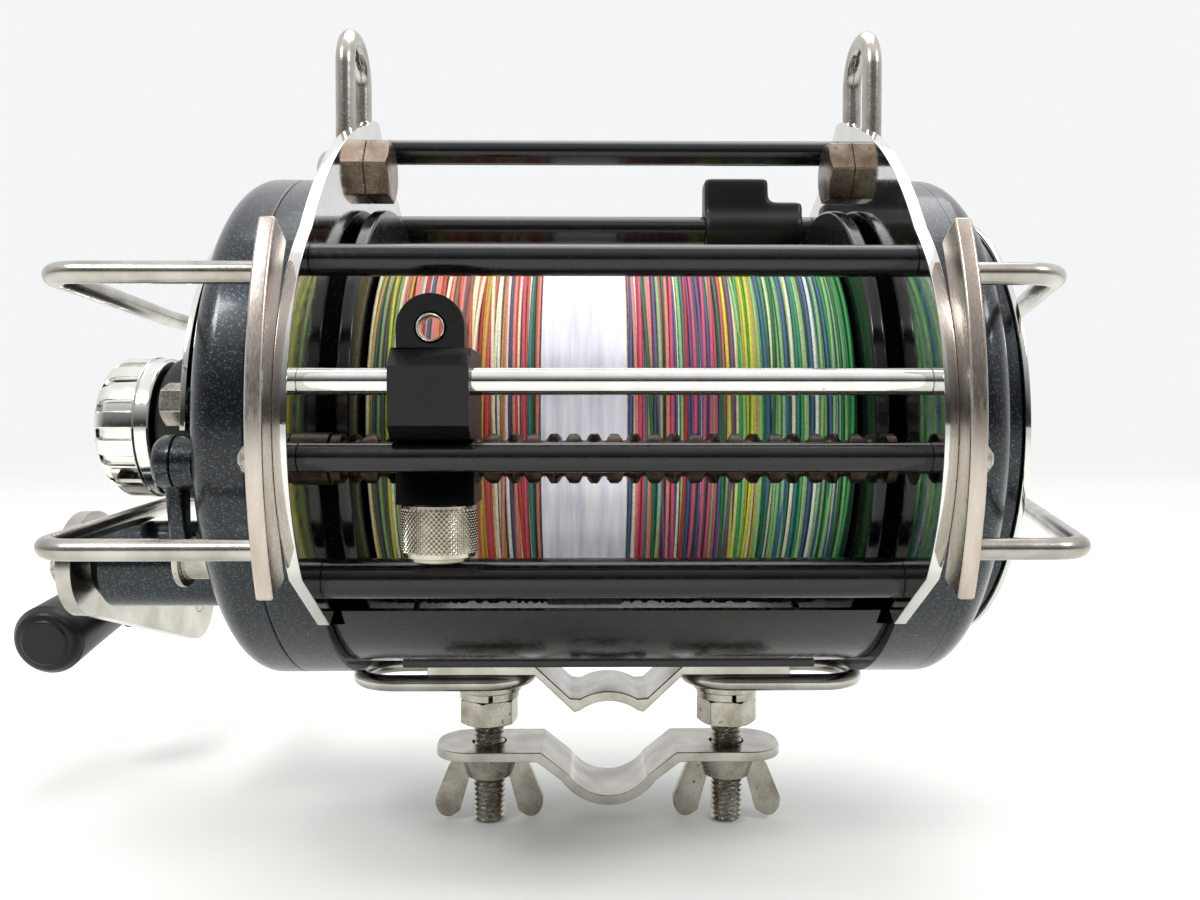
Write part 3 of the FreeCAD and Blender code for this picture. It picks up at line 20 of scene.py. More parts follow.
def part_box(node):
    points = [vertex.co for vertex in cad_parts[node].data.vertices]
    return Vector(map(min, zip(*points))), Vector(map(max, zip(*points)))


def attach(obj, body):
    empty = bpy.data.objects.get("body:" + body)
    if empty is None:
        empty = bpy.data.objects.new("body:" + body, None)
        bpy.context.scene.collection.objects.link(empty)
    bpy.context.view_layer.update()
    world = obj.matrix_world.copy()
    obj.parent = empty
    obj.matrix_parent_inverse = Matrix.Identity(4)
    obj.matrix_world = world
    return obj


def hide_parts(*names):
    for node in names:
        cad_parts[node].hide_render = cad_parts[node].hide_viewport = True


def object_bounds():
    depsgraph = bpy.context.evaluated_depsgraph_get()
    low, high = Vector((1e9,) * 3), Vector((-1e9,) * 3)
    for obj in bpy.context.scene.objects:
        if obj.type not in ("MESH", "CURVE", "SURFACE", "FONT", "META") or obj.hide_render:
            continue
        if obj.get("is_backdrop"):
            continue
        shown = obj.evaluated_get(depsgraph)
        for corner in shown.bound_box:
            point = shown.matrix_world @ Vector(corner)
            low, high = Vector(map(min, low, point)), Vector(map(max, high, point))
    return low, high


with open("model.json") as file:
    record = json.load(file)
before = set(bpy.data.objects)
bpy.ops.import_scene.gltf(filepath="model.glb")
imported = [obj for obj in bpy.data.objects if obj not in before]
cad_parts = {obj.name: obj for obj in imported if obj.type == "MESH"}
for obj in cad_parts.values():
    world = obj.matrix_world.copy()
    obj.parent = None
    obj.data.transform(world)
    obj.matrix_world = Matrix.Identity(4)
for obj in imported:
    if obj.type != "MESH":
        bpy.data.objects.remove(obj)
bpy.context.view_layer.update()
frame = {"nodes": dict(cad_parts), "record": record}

LOG = logging.getLogger("trolling_reel")
MM = 0.001
OWNER = {node: body for body, nodes in frame["record"]["behaviour"]["bodies"].items() for node in nodes}
AXIS_Z = sum(corner.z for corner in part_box("spool_shaft")) / 2
ROUND_X = (1, 2)
ROUND_Z = (0, 1)

Piece = bpy.types.Object
Tree = bpy.types.NodeTree
Socket = bpy.types.NodeSocket
Outline = Sequence[tuple[float, float]]


class Along(Enum):
    """The axis that a turned or drawn piece lies along."""

    X = (1.0, 0.0, 0.0)
    Y = (0.0, 1.0, 0.0)
    Z = (0.0, 0.0, 1.0)


class Side(Enum):
    """The two ends of the spool."""

    HANDLE = -1
    FAR = 1


# ---------------------------------------------------------------- finishes
def linear(colour: str) -> tuple[float, float, float, float]:
    """Turns an sRGB hex colour into linear red, green, blue and alpha.

    Args:
        colour: six hex digits after a hash.

    Returns:
        The linear colour.
    """
    shares = [int(colour[start:start + 2], 16) / 255 for start in (1, 3, 5)]
    lit = [s / 12.92 if s <= 0.04045 else ((s + 0.055) / 1.055) ** 2.4 for s in shares]
    return lit[0], lit[1], lit[2], 1.0


def add(tree: Tree, kind: str, links: dict | None = None, **settings: object) -> bpy.types.Node:
    """Adds a node with its settings and incoming links.

    Args:
        tree: the material's node tree.
        kind: the node's type, without its ShaderNode prefix.
        links: input socket (name or number) to the output socket that feeds it.
        settings: the node's own properties, or its input sockets with spaces as underscores.

    Returns:
        The new node.
    """
    node = tree.nodes.new(f"ShaderNode{kind}")
    for name, value in settings.items():
        if hasattr(node, name):
            setattr(node, name, value)
        else:
            node.inputs[name.replace("_", " ")].default_value = value
    for socket, source in (links or {}).items():
        tree.links.new(source, node.inputs[socket])
    return node


@dataclass(frozen=True)
class Finish:
    """A surface, named for its material and how it was made. Lengths are in millimetres."""

    name: str
    colour: str
    drift: str
    metallic: float
    roughness: float
    rough_spread: float = 0.08
    drift_mm: float = 9.0
    grain_mm: float = 0.5
    grain_depth: float = 0.01
    stretch: tuple[float, float, float] = (1.0, 1.0, 1.0)
    coat: float = 0.0
    stain: str = "#000000"
    stain_mm: float = 3.0
    stain_share: float = 0.0
    scratch_mm: float = 0.0
    specular: float = 0.5

    def base_colour(self, tree: Tree, place: Socket) -> Socket:
        """Paints the base colour, drifting between two tones and stained in patches.

        Args:
            tree: the material's node tree.
            place: the surface's coordinates in metres.

        Returns:
            The colour's socket.
        """
        cloud = add(tree, "TexNoise", {"Vector": place}, Scale=1000 / self.drift_mm, Detail=4.0)
        share = add(tree, "MapRange", {0: cloud.outputs[0]}, From_Min=0.35, From_Max=0.68)
        tone = add(tree, "Mix", {0: share.outputs[0]}, data_type="RGBA")
        tone.inputs[6].default_value = linear(self.colour)
        tone.inputs[7].default_value = linear(self.drift)
        if not self.stain_share:
            return tone.outputs[2]
        patch = add(tree, "TexNoise", {"Vector": place}, Scale=1000 / self.stain_mm, Detail=6.0)
        edge = 1 - self.stain_share
        mask = add(tree, "MapRange", {0: patch.outputs[0]}, From_Min=edge - 0.05, From_Max=edge + 0.03)
        stained = add(tree, "Mix", {0: mask.outputs[0], 6: tone.outputs[2]}, data_type="RGBA")
        stained.inputs[7].default_value = linear(self.stain)
        return stained.outputs[2]

    def relief(self, tree: Tree, place: Socket) -> Socket:
        """Makes the fine height pattern that roughness and bump both follow.

        Args:
            tree: the material's node tree.
            place: the surface's coordinates in metres.

        Returns:
            The height's socket, from 0 to 1.
        """
        grain = add(tree, "TexNoise", {"Vector": place}, Scale=1000 / self.grain_mm, Detail=2.0)
        if not self.scratch_mm:
            return grain.outputs[0]
        edges = {"feature": "DISTANCE_TO_EDGE", "Scale": 1000 / self.scratch_mm}
        cells = add(tree, "TexVoronoi", {"Vector": place}, **edges)
        line = add(tree, "MapRange", {0: cells.outputs[0]}, From_Max=0.02)
        both = {0: grain.outputs[0], 1: line.outputs[0]}
        return add(tree, "Math", both, operation="MULTIPLY").outputs[0]

    def material(self) -> bpy.types.Material:
        """Builds the finish once and returns it each time it is asked for."""
        made = bpy.data.materials.get(self.name)
        if made:
            return made
        made = bpy.data.materials.new(self.name)
        made.use_nodes = True
        tree = made.node_tree
        shader = tree.nodes["Principled BSDF"]
        shader.inputs["Metallic"].default_value = self.metallic
        shader.inputs["Coat Weight"].default_value = self.coat
        shader.inputs["Coat Roughness"].default_value = 0.12
        shader.inputs["Specular IOR Level"].default_value = self.specular
        drawn = add(tree, "Mapping", {0: add(tree, "TexCoord").outputs["Object"]})
        drawn.inputs["Scale"].default_value = self.stretch
        place = drawn.outputs[0]
        tree.links.new(self.base_colour(tree, place), shader.inputs["Base Color"])
        height = self.relief(tree, place)
        low = max(self.roughness - self.rough_spread, 0.02)
        high = self.roughness + self.rough_spread
        rough = add(tree, "MapRange", {0: height}, From_Min=0.3, From_Max=0.7, To_Min=low, To_Max=high)
        tree.links.new(rough.outputs[0], shader.inputs["Roughness"])
        bump = add(tree, "Bump", {"Height": height}, Distance=self.grain_depth * MM)
        tree.links.new(bump.outputs[0], shader.inputs["Normal"])
        return made


@dataclass(frozen=True)
class FlakeEnamel(Finish):
    """Sprayed enamel with metal flakes under a clear coat."""

    flake: str = "#6d8797"
    flake_mm: float = 0.24
    flake_share: float = 0.18

    def base_colour(self, tree: Tree, place: Socket) -> Socket:
        """Scatters bright flakes over the enamel's own tones."""
        ground = super().base_colour(tree, place)
        cells = add(tree, "TexVoronoi", {"Vector": place}, Scale=1000 / self.flake_mm)
        chance = add(tree, "SeparateColor", {0: cells.outputs["Color"]})
        edge = 1 - self.flake_share
        bright = add(tree, "MapRange", {0: chance.outputs[0]}, From_Min=edge, From_Max=1.0, To_Max=0.4)
        mixed = add(tree, "Mix", {0: bright.outputs[0], 6: ground}, data_type="RGBA")
        mixed.inputs[7].default_value = linear(self.flake)
        return mixed.outputs[2]


@dataclass(frozen=True)
class BraidedLine(Finish):
    """Braided fibre line, each strand in the colour that it carries as an attribute."""

    attribute: str = "strand_colour"

    def base_colour(self, tree: Tree, place: Socket) -> Socket:
        """Darkens each strand's own colour where dirt and shade sit between the fibres."""
        carried = add(tree, "Attribute", attribute_name=self.attribute)
        fibre = add(tree, "TexNoise", {"Vector": place}, Scale=1000 / self.drift_mm, Detail=3.0)
        dark = add(tree, "MapRange", {0: fibre.outputs[0]}, From_Min=0.3, From_Max=0.7, To_Min=0.72)
        shade = add(tree, "Mix", {7: carried.outputs[0]}, data_type="RGBA", blend_type="MULTIPLY")
        shade.inputs[0].default_value = 1.0
        tree.links.new(dark.outputs[0], shade.inputs[6])
        return shade.outputs[2]


# Mirror-polished stainless sheet: near-perfect reflections, hairline wiping scratches.
MIRROR_STAINLESS = Finish(
    "mirror_polished_stainless", "#d9d8d4", "#c9c8c4", 1.0, 0.07, 0.04, 14.0, 2.5, 0.002, scratch_mm=6.0
)
# Satin bent wire and bar: a soft long highlight, with salt specks.
SATIN_STAINLESS = Finish(
    "satin_stainless_wire", "#bbb7b0", "#98928a", 1.0, 0.22, 0.05, 9.0, 0.5, 0.002,
    stain="#85776a", stain_mm=1.2, stain_share=0.17,
)
# Bars bolted to the plates: satin, with a warm brown tarnish.
TARNISHED_BAR = Finish(
    "tarnished_stainless_bar", "#c4bab2", "#a09287", 1.0, 0.26, 0.05, 7.0, 0.3, 0.002,
    stretch=(1.0, 1.0, 0.12),
    stain="#6b4a35", stain_mm=3.0, stain_share=0.25,
)
# Turned and forged fasteners: duller, yellowed in the corners, rust in spots.
WORN_HARDWARE = Finish(
    "forged_stainless_hardware", "#b5b0a6", "#8f887d", 1.0, 0.28, 0.1, 5.0, 0.5, 0.006,
    stain="#6a4c38", stain_mm=2.0, stain_share=0.28,
)
# Bolt heads inside the plates, where water stays: rust over dull steel.
RUSTY_HARDWARE = Finish(
    "rusted_stainless_head", "#9a8b7e", "#6e5c4f", 1.0, 0.3, 0.08, 6.0, 0.5, 0.004,
    stain="#54392a", stain_mm=1.6, stain_share=0.3,
)
# Cast housings: dark blue-grey enamel full of metal flake, under a clear coat.
HOUSING_ENAMEL = FlakeEnamel(
    "flake_enamel_casting", "#060a0e", "#0c151b", 0.6, 0.34, 0.06, 22.0, 0.3, 0.006, coat=0.45,
)
# Bars, cradle and spool: smooth black enamel with dust and faint rub marks.
BLACK_ENAMEL = Finish(
    "gloss_black_enamel", "#070708", "#0d0d0e", 0.0, 0.2, 0.08, 12.0, 1.2, 0.004, coat=0.2,
    stain="#2c2824", stain_mm=1.0, stain_share=0.2, specular=0.35,
)
# Injection-moulded nylon: fine spark-eroded texture that spreads the light.
BLACK_NYLON = Finish(
    "moulded_black_nylon", "#080808", "#0e0e0e", 0.0, 0.38, 0.08, 10.0, 0.4, 0.015, specular=0.3,
)
# Moulded rubber: deep matt black with a bloom.
BLACK_RUBBER = Finish(
    "moulded_black_rubber", "#0c0c0e", "#141416", 0.0, 0.5, 0.1, 8.0, 0.5, 0.015, specular=0.3,
)
# Bright chrome on brass: almost white, faintly hazed.
BRIGHT_CHROME = Finish(
    "bright_chrome_plate", "#e2e1dd", "#d3d1cb", 1.0, 0.09, 0.05, 6.0, 1.0, 0.003,
    stain="#8f8a78", stain_mm=1.6, stain_share=0.24,
)
# Knurled cap: nickel plate gone a little grey.
DULL_NICKEL = Finish(
    "dull_nickel_plate", "#bcb7a9", "#9c9687", 1.0, 0.2, 0.06, 4.0, 0.6, 0.002,
    stain="#5e584a", stain_mm=0.9, stain_share=0.25,
)
# Bronze worm, dark with old grease.
OILED_BRONZE = Finish("oiled_bronze", "#3b2e22", "#17120e", 0.85, 0.36, 0.12, 3.0, 0.5, 0.01)
# Hobbed and ground gear steel.
GEAR_STEEL = Finish("ground_steel", "#8d8d8c", "#747472", 1.0, 0.3, 0.08, 6.0, 0.4, 0.006)
# Woven drag washer.
DRAG_FIBRE = Finish("woven_drag_fibre", "#2a2420", "#1a1613", 0.0, 0.7, 0.1, 2.0, 0.6, 0.03)
# Film tape wound over the line: white, half gloss, streaked round the spool in lilac grey, which is painted
# shade of its wrinkles.
FILM_TAPE = Finish(
    "white_film_tape", "#eeecf3", "#d0ccdd", 0.0, 0.26, 0.08, 1.5, 1.2, 0.02,
    stretch=(1.0, 0.06, 0.06), coat=0.4,
)
# Braid: soft, slightly waxed fibres.
BRAID = BraidedLine("waxed_braid", "#808080", "#808080", 0.0, 0.55, 0.1, 0.6, 0.35, 0.05)


# ---------------------------------------------------------- modelling tools
def deselect() -> None:
    """Leaves edit mode and clears the selection."""
    if bpy.context.mode != "OBJECT":
        bpy.ops.object.mode_set(mode="OBJECT")
    bpy.ops.object.select_all(action="DESELECT")


def pick(piece: Piece) -> Piece:
    """Selects one object alone and makes it active."""
    deselect()
    piece.select_set(True)
    bpy.context.view_layer.objects.active = piece
    return piece


def modify(piece: Piece, kind: str, **settings: object) -> Piece:
    """Adds a modifier with its settings and applies it.

    Args:
        piece: the mesh to change.
        kind: the modifier's type.
        settings: the modifier's properties.

    Returns:
        The same object.
    """
    pick(piece)
    change = piece.modifiers.new(kind.lower(), kind)
    for name, value in settings.items():
        setattr(change, name, value)
    bpy.ops.object.modifier_apply(modifier=change.name)
    return piece


def settle(piece: Piece) -> Piece:
    """Moves a piece's place and turn into its mesh."""
    pick(piece)
    bpy.ops.object.transform_apply(location=True, rotation=True, scale=True)
    return piece


def smooth(piece: Piece, angle: float = 32.0) -> Piece:
    """Shades a piece smooth up to an angle in degrees and keeps its flat faces flat."""
    pick(piece)
    bpy.ops.object.shade_smooth_by_angle(angle=math.radians(angle))
    return modify(piece, "WEIGHTED_NORMAL", keep_sharp=True)


def soften(piece: Piece, width: float, segments: int = 2, angle: float = 32.0) -> Piece:
    """Breaks every sharp edge with a small round, then shades the piece.

    Args:
        piece: the mesh to finish.
        width: the round's width in millimetres.
        segments: faces across the round.
        angle: the least fold in degrees that counts as an edge.

    Returns:
        The same object.
    """
    fold = {"limit_method": "ANGLE", "angle_limit": math.radians(angle)}
    modify(piece, "BEVEL", width=width * MM, segments=segments, use_clamp_overlap=True, **fold)
    return smooth(piece, angle)


def edit_all(piece: Piece) -> Piece:
    """Opens a piece in edit mode with everything selected."""
    pick(piece)
    bpy.ops.object.mode_set(mode="EDIT")
    bpy.ops.mesh.select_mode(type="VERT")
    bpy.ops.mesh.select_all(action="SELECT")
    return piece


def close_up(piece: Piece) -> Piece:
    """Merges doubled points, turns the faces outwards and leaves edit mode."""
    bpy.ops.mesh.select_all(action="SELECT")
    bpy.ops.mesh.remove_doubles(threshold=0.002 * MM)
    bpy.ops.mesh.normals_make_consistent(inside=False)
    bpy.ops.object.mode_set(mode="OBJECT")
    return piece


def lathe(
    name: str,
    profile: Outline,
    centre: Vector,
    along: Along = Along.X,
    steps: int = 64,
) -> Piece:
    """Turns a profile about an axis through a centre.

    Args:
        name: the piece's name.
        profile: (distance along the axis from the centre, radius), in metres.
        centre: a point on the axis.
        along: the axis.
        steps: faces round the piece.

    Returns:
        The closed, turned mesh.
    """
    axis = Vector(along.value)
    outward = Vector((0, 0, 1)) if along is not Along.Z else Vector((0, -1, 0))
    points = [centre + axis * distance + outward * radius for distance, radius in profile]
    deselect()
    bpy.ops.mesh.primitive_plane_add(size=MM)
    piece = edit_all(bpy.context.active_object)
    piece.name = name
    bpy.ops.mesh.merge(type="CENTER")
    bpy.ops.transform.translate(value=points[0])
    for start, end in zip(points, points[1:]):
        bpy.ops.mesh.extrude_region_move(TRANSFORM_OT_translate={"value": end - start})
    bpy.ops.mesh.select_all(action="SELECT")
    bpy.ops.mesh.spin(steps=steps, angle=2 * math.pi, center=centre, axis=axis)
    return close_up(piece)


def reshape(piece: Piece, move: Callable[[np.ndarray], np.ndarray]) -> Piece:
    """Passes a mesh's points through a function.

    Args:
        piece: the mesh to change.
        move: takes and returns an array of points.

    Returns:
        The same object.
    """
    points = np.zeros(len(piece.data.vertices) * 3)
    piece.data.vertices.foreach_get("co", points)
    moved = move(points.reshape(-1, 3))
    piece.data.vertices.foreach_set("co", moved.ravel())
    piece.data.update()
    return piece


def polar(points: np.ndarray, centre: Vector, axes: tuple[int, int]) -> tuple[np.ndarray, np.ndarray]:
    """Gives each point's angle and radius in the plane of two axes about a centre."""
    across, up = (points[:, axis] - centre[axis] for axis in axes)
    return np.arctan2(up, across), np.hypot(across, up)


def draw_in(points: np.ndarray, centre: Vector, axes: tuple[int, int], scale: np.ndarray) -> np.ndarray:
    """Scales each point's distance from a centre by its own share, in the plane of two axes."""
    for axis in axes:
        points[:, axis] = centre[axis] + (points[:, axis] - centre[axis]) * scale
    return points


def about(centre: Vector, angle: float, axis: Along) -> Matrix:
    """Gives a turn in radians about an axis through a centre."""
    turn = Matrix.Rotation(angle, 4, Vector(axis.value))
    return Matrix.Translation(centre) @ turn @ Matrix.Translation(-centre)


def select_faces(piece: Piece, fits: Callable[[bmesh.types.BMFace], bool]) -> None:
    """Selects the faces that pass a test, in edit mode."""
    mesh = bmesh.from_edit_mesh(piece.data)
    for face in mesh.faces:
        face.select_set(False)
    mesh.select_flush(False)
    for face in mesh.faces:
        if fits(face):
            face.select_set(True)
    bmesh.update_edit_mesh(piece.data)


def select_edges(piece: Piece, fits: Callable[[Vector, Vector], bool]) -> None:
    """Selects the edges whose two ends pass a test, in edit mode."""
    bpy.ops.mesh.select_all(action="DESELECT")
    bpy.ops.mesh.select_mode(type="EDGE")
    mesh = bmesh.from_edit_mesh(piece.data)
    for edge in mesh.edges:
        if fits(edge.verts[0].co, edge.verts[1].co):
            edge.select_set(True)
    bmesh.update_edit_mesh(piece.data)


def join(name: str, pieces: Sequence[Piece]) -> Piece:
    """Joins pieces into one object of that name."""
    pick(pieces[0])
    for piece in pieces[1:]:
        piece.select_set(True)
    bpy.ops.object.join()
    pieces[0].name = name
    return pieces[0]


def copied(node: str) -> Piece:
    """Copies a CAD node and merges its loose triangles into flat faces.

    Args:
        node: the CAD node's name.

    Returns:
        The clean copy.
    """
    piece = bpy.data.objects.new(f"{node}_finished", frame["nodes"][node].data.copy())
    bpy.context.scene.collection.objects.link(piece)
    piece.data.materials.clear()
    edit_all(piece)
    bpy.ops.mesh.remove_doubles(threshold=0.002 * MM)
    bpy.ops.mesh.dissolve_limited(angle_limit=math.radians(0.4))
    bpy.ops.object.mode_set(mode="OBJECT")
    return piece


def melted(node: str, grain: float, passes: int) -> Piece:
    """Rounds a CAD node all over, as a moulding or a casting comes out of its die.

    Args:
        node: the CAD node's name.
        grain: the new faces' size in millimetres.
        passes: how many times the surface is eased.

    Returns:
        The rounded copy.
    """
    piece = modify(copied(node), "REMESH", mode="VOXEL", voxel_size=grain * MM)
    modify(piece, "SMOOTH", factor=0.5, iterations=passes)
    return smooth(piece, 80.0)


def chamfered_hex(
    name: str,
    flats: float,
    length: float,
    centre: Vector,
    along: Along,
    turn: float = 0.0,
    open_end: int = 0,
) -> Piece:
    """Forges a hexagon whose corners are turned down at its free ends.

    Args:
        name: the piece's name.
        flats: width across the flats.
        length: length along the axis.
        centre: the hexagon's centre.
        along: its axis.
        turn: degrees that it is turned about its axis.
        open_end: 1 or -1 where only that end is free, 0 where both are.

    Returns:
        The hexagon.
    """
    corner = flats / math.sqrt(3)
    lean = math.pi / 2 if along is Along.X else 0.0
    deselect()
    bpy.ops.mesh.primitive_cylinder_add(vertices=6, radius=corner, depth=length, location=(0, 0, 0))
    piece = bpy.context.active_object
    piece.name = name
    spin = Matrix.Rotation(math.radians(turn), 4, Vector(Along.Z.value))
    tip = Matrix.Rotation(lean, 4, Vector(Along.Y.value))
    piece.matrix_world = Matrix.Translation(centre) @ tip @ spin
    settle(piece)
    modify(piece, "BEVEL", width=0.3 * MM, segments=3, limit_method="ANGLE", angle_limit=math.radians(50))
    half = length / 2
    drop = (corner - flats / 2) * 0.62
    wide, narrow = corner * 1.05, flats / 2 * 0.97
    low = [(-half, narrow), (-half + drop, wide)] if open_end < 1 else [(-half, wide)]
    high = [(half - drop, wide), (half, narrow)] if open_end > -1 else [(half, wide)]
    barrel = lathe("chamfer", [(-half, 0.0), *low, *high, (half, 0.0)], centre, along, 48)
    modify(piece, "BOOLEAN", operation="INTERSECT", object=barrel, solver="EXACT")
    bpy.data.objects.remove(barrel)
    return smooth(piece, 24.0)


@dataclass
class Assembly:
    """A group of pieces that are built and dressed together."""

    made: list[Piece] = field(default_factory=list)

    def take(self, piece: Piece, finish: Finish, *nodes: str, body: str = "", slot: str = "") -> None:
        """Dresses a finished piece and seats it on its body.

        Args:
            piece: the mesh.
            finish: its surface.
            nodes: the CAD nodes that it stands for.
            body: the body it rides on, where it stands for no node.
            slot: the record's material slot, where it stands for no node; not used.
        """
        piece.data.materials.clear()
        piece.data.materials.append(finish.material())
        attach(piece, body or OWNER[nodes[0]])
        if nodes:
            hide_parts(*nodes)
        self.made.append(piece)
        LOG.info("%s: %d faces", piece.name, len(piece.data.polygons))

    def carry(self, finish: Finish, nodes: Iterable[str], width: float = 0.3, segments: int = 2) -> None:
        """Finishes clean copies of CAD nodes whose shape is right, their edges broken.

        Args:
            finish: the surface they share.
            nodes: the CAD nodes.
            width: the broken edges' width in millimetres.
            segments: faces across a broken edge.
        """
        for node in nodes:
            self.take(soften(copied(node), width, segments), finish, node)

    def coat(self, finish: Finish, nodes: Iterable[str]) -> None:
        """Gives inner CAD nodes their finish and leaves their shape."""
        for node in nodes:
            part = frame["nodes"][node]
            part.data.materials.clear()
            part.data.materials.append(finish.material())


# ------------------------------------------------------------ sub-assemblies
@dataclass
class Housings(Assembly):
    """Cast side rings, covers and the far side's stepped end."""

    edge: float = 0.5
    fine_edge: float = 0.25

    def build(self) -> None:
        """Builds and dresses the housings."""
        castings = ["handle_side_ring", "far_side_ring", "handle_side_cover", "far_side_cover"]
        self.carry(HOUSING_ENAMEL, castings + ["far_side_step"], self.edge, 3)
        self.carry(HOUSING_ENAMEL, ["bearing_cap"], self.fine_edge)
        self.carry(MIRROR_STAINLESS, ["far_side_trim", "guard_plates"], self.fine_edge)
        self.coat(GEAR_STEEL, ["spool_bearings", "idler_pin"])
        self.coat(OILED_BRONZE, ["worm_bushings"])


@dataclass
class SideGuards(Assembly):
    """Carrier bars, wire hoops, harness loops and their fasteners."""

    flats: float = 13 * MM
    head: float = 5.6 * MM
    thread: float = 4 * MM
    nut_rim: float = 2.2 * MM
    nut_dome: float = 2.8 * MM
    shank_stop: float = 4.6 * MM

    def build(self) -> None:
        """Builds and dresses the guards."""
        self.carry(TARNISHED_BAR, ["carrier_bars"], 0.6, 3)
        self.carry(SATIN_STAINLESS, ["handle_side_hoops", "far_side_hoops", "harness_loops"], 0.2, 1)
        self.carry(WORN_HARDWARE, ["bar_rivets"], 0.1, 1)
        self.bolts()
        self.nuts()

    def bolts(self) -> None:
        """Hexagon-head bolts inside the plates."""
        low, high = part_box("harness_bolts")
        plate_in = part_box("thin_crossbars")[1].x
        middle = (low + high) / 2
        parts = []
        for side in Side:
            hand = side.value
            centre = Vector((hand * (plate_in - self.head / 2), middle.y, middle.z))
            head = (self.flats, self.head, centre, Along.X, 4.0 * hand, -hand)
            parts.append(chamfered_hex(f"head_{side.name}", *head))
            start, end = hand * plate_in, hand * (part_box("harness_nuts")[1].x - self.shank_stop)
            profile = [(start, 0.0), (start, self.thread), (end, self.thread), (end, 0.0)]
            centre.x = 0
            parts.append(smooth(lathe(f"shank_{side.name}", profile, centre, steps=32)))
        self.take(join("harness_bolts_finished", parts), RUSTY_HARDWARE, "harness_bolts")

    def nuts(self) -> None:
        """Domed nuts outside the harness loops."""
        low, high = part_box("harness_nuts")
        middle = (low + high) / 2
        radius = (high.z - low.z) / 2
        inner = high.x - self.nut_rim - self.nut_dome
        profile = [(0.0, 0.0), (0.0, radius), (self.nut_rim, radius)]
        for step in range(1, 7):
            angle = math.pi / 2 * step / 6
            profile.append((self.nut_rim + self.nut_dome * math.sin(angle), radius * math.cos(angle)))
        parts = []
        for side in Side:
            placed = [(side.value * (inner + distance), reach) for distance, reach in profile]
            dome = lathe(f"dome_{side.name}", placed, Vector((0, middle.y, middle.z)), steps=32)
            parts.append(smooth(dome))
        self.take(join("harness_nuts_finished", parts), WORN_HARDWARE, "harness_nuts")


@dataclass
class CrossBars(Assembly):
    """Bars between the plates and the cradle under the spool."""

    def build(self) -> None:
        """Builds and dresses the bars and the cradle."""
        self.carry(BLACK_ENAMEL, ["thin_crossbars", "thick_crossbars"], 0.15, 1)
        self.carry(BLACK_ENAMEL, ["spool_cradle"], 0.6, 3)
        self.carry(BRIGHT_CHROME, ["guide_rod"], 0.15, 1)


class Tone(Enum):
    """Colours of the wound braid."""

    RED = "#b3262f"
    SCARLET = "#c93a2c"
    ORANGE = "#cf5b32"
    SALMON = "#e0857a"
    PINK = "#d1506f"
    CREAM = "#efe8c2"
    WHITE = "#e9ebe0"
    OCHRE = "#c9a23c"
    YELLOW = "#d3cf2c"
    PURPLE = "#6a4d7d"
    BLUE = "#3d5f93"
    SLATE = "#44596b"
    BROWN = "#8a6048"
    LIGHT_GREEN = "#8fc07c"
    GREEN = "#2f9a4c"
    DEEP_GREEN = "#1d6b3c"
    TEAL = "#2c7f7d"


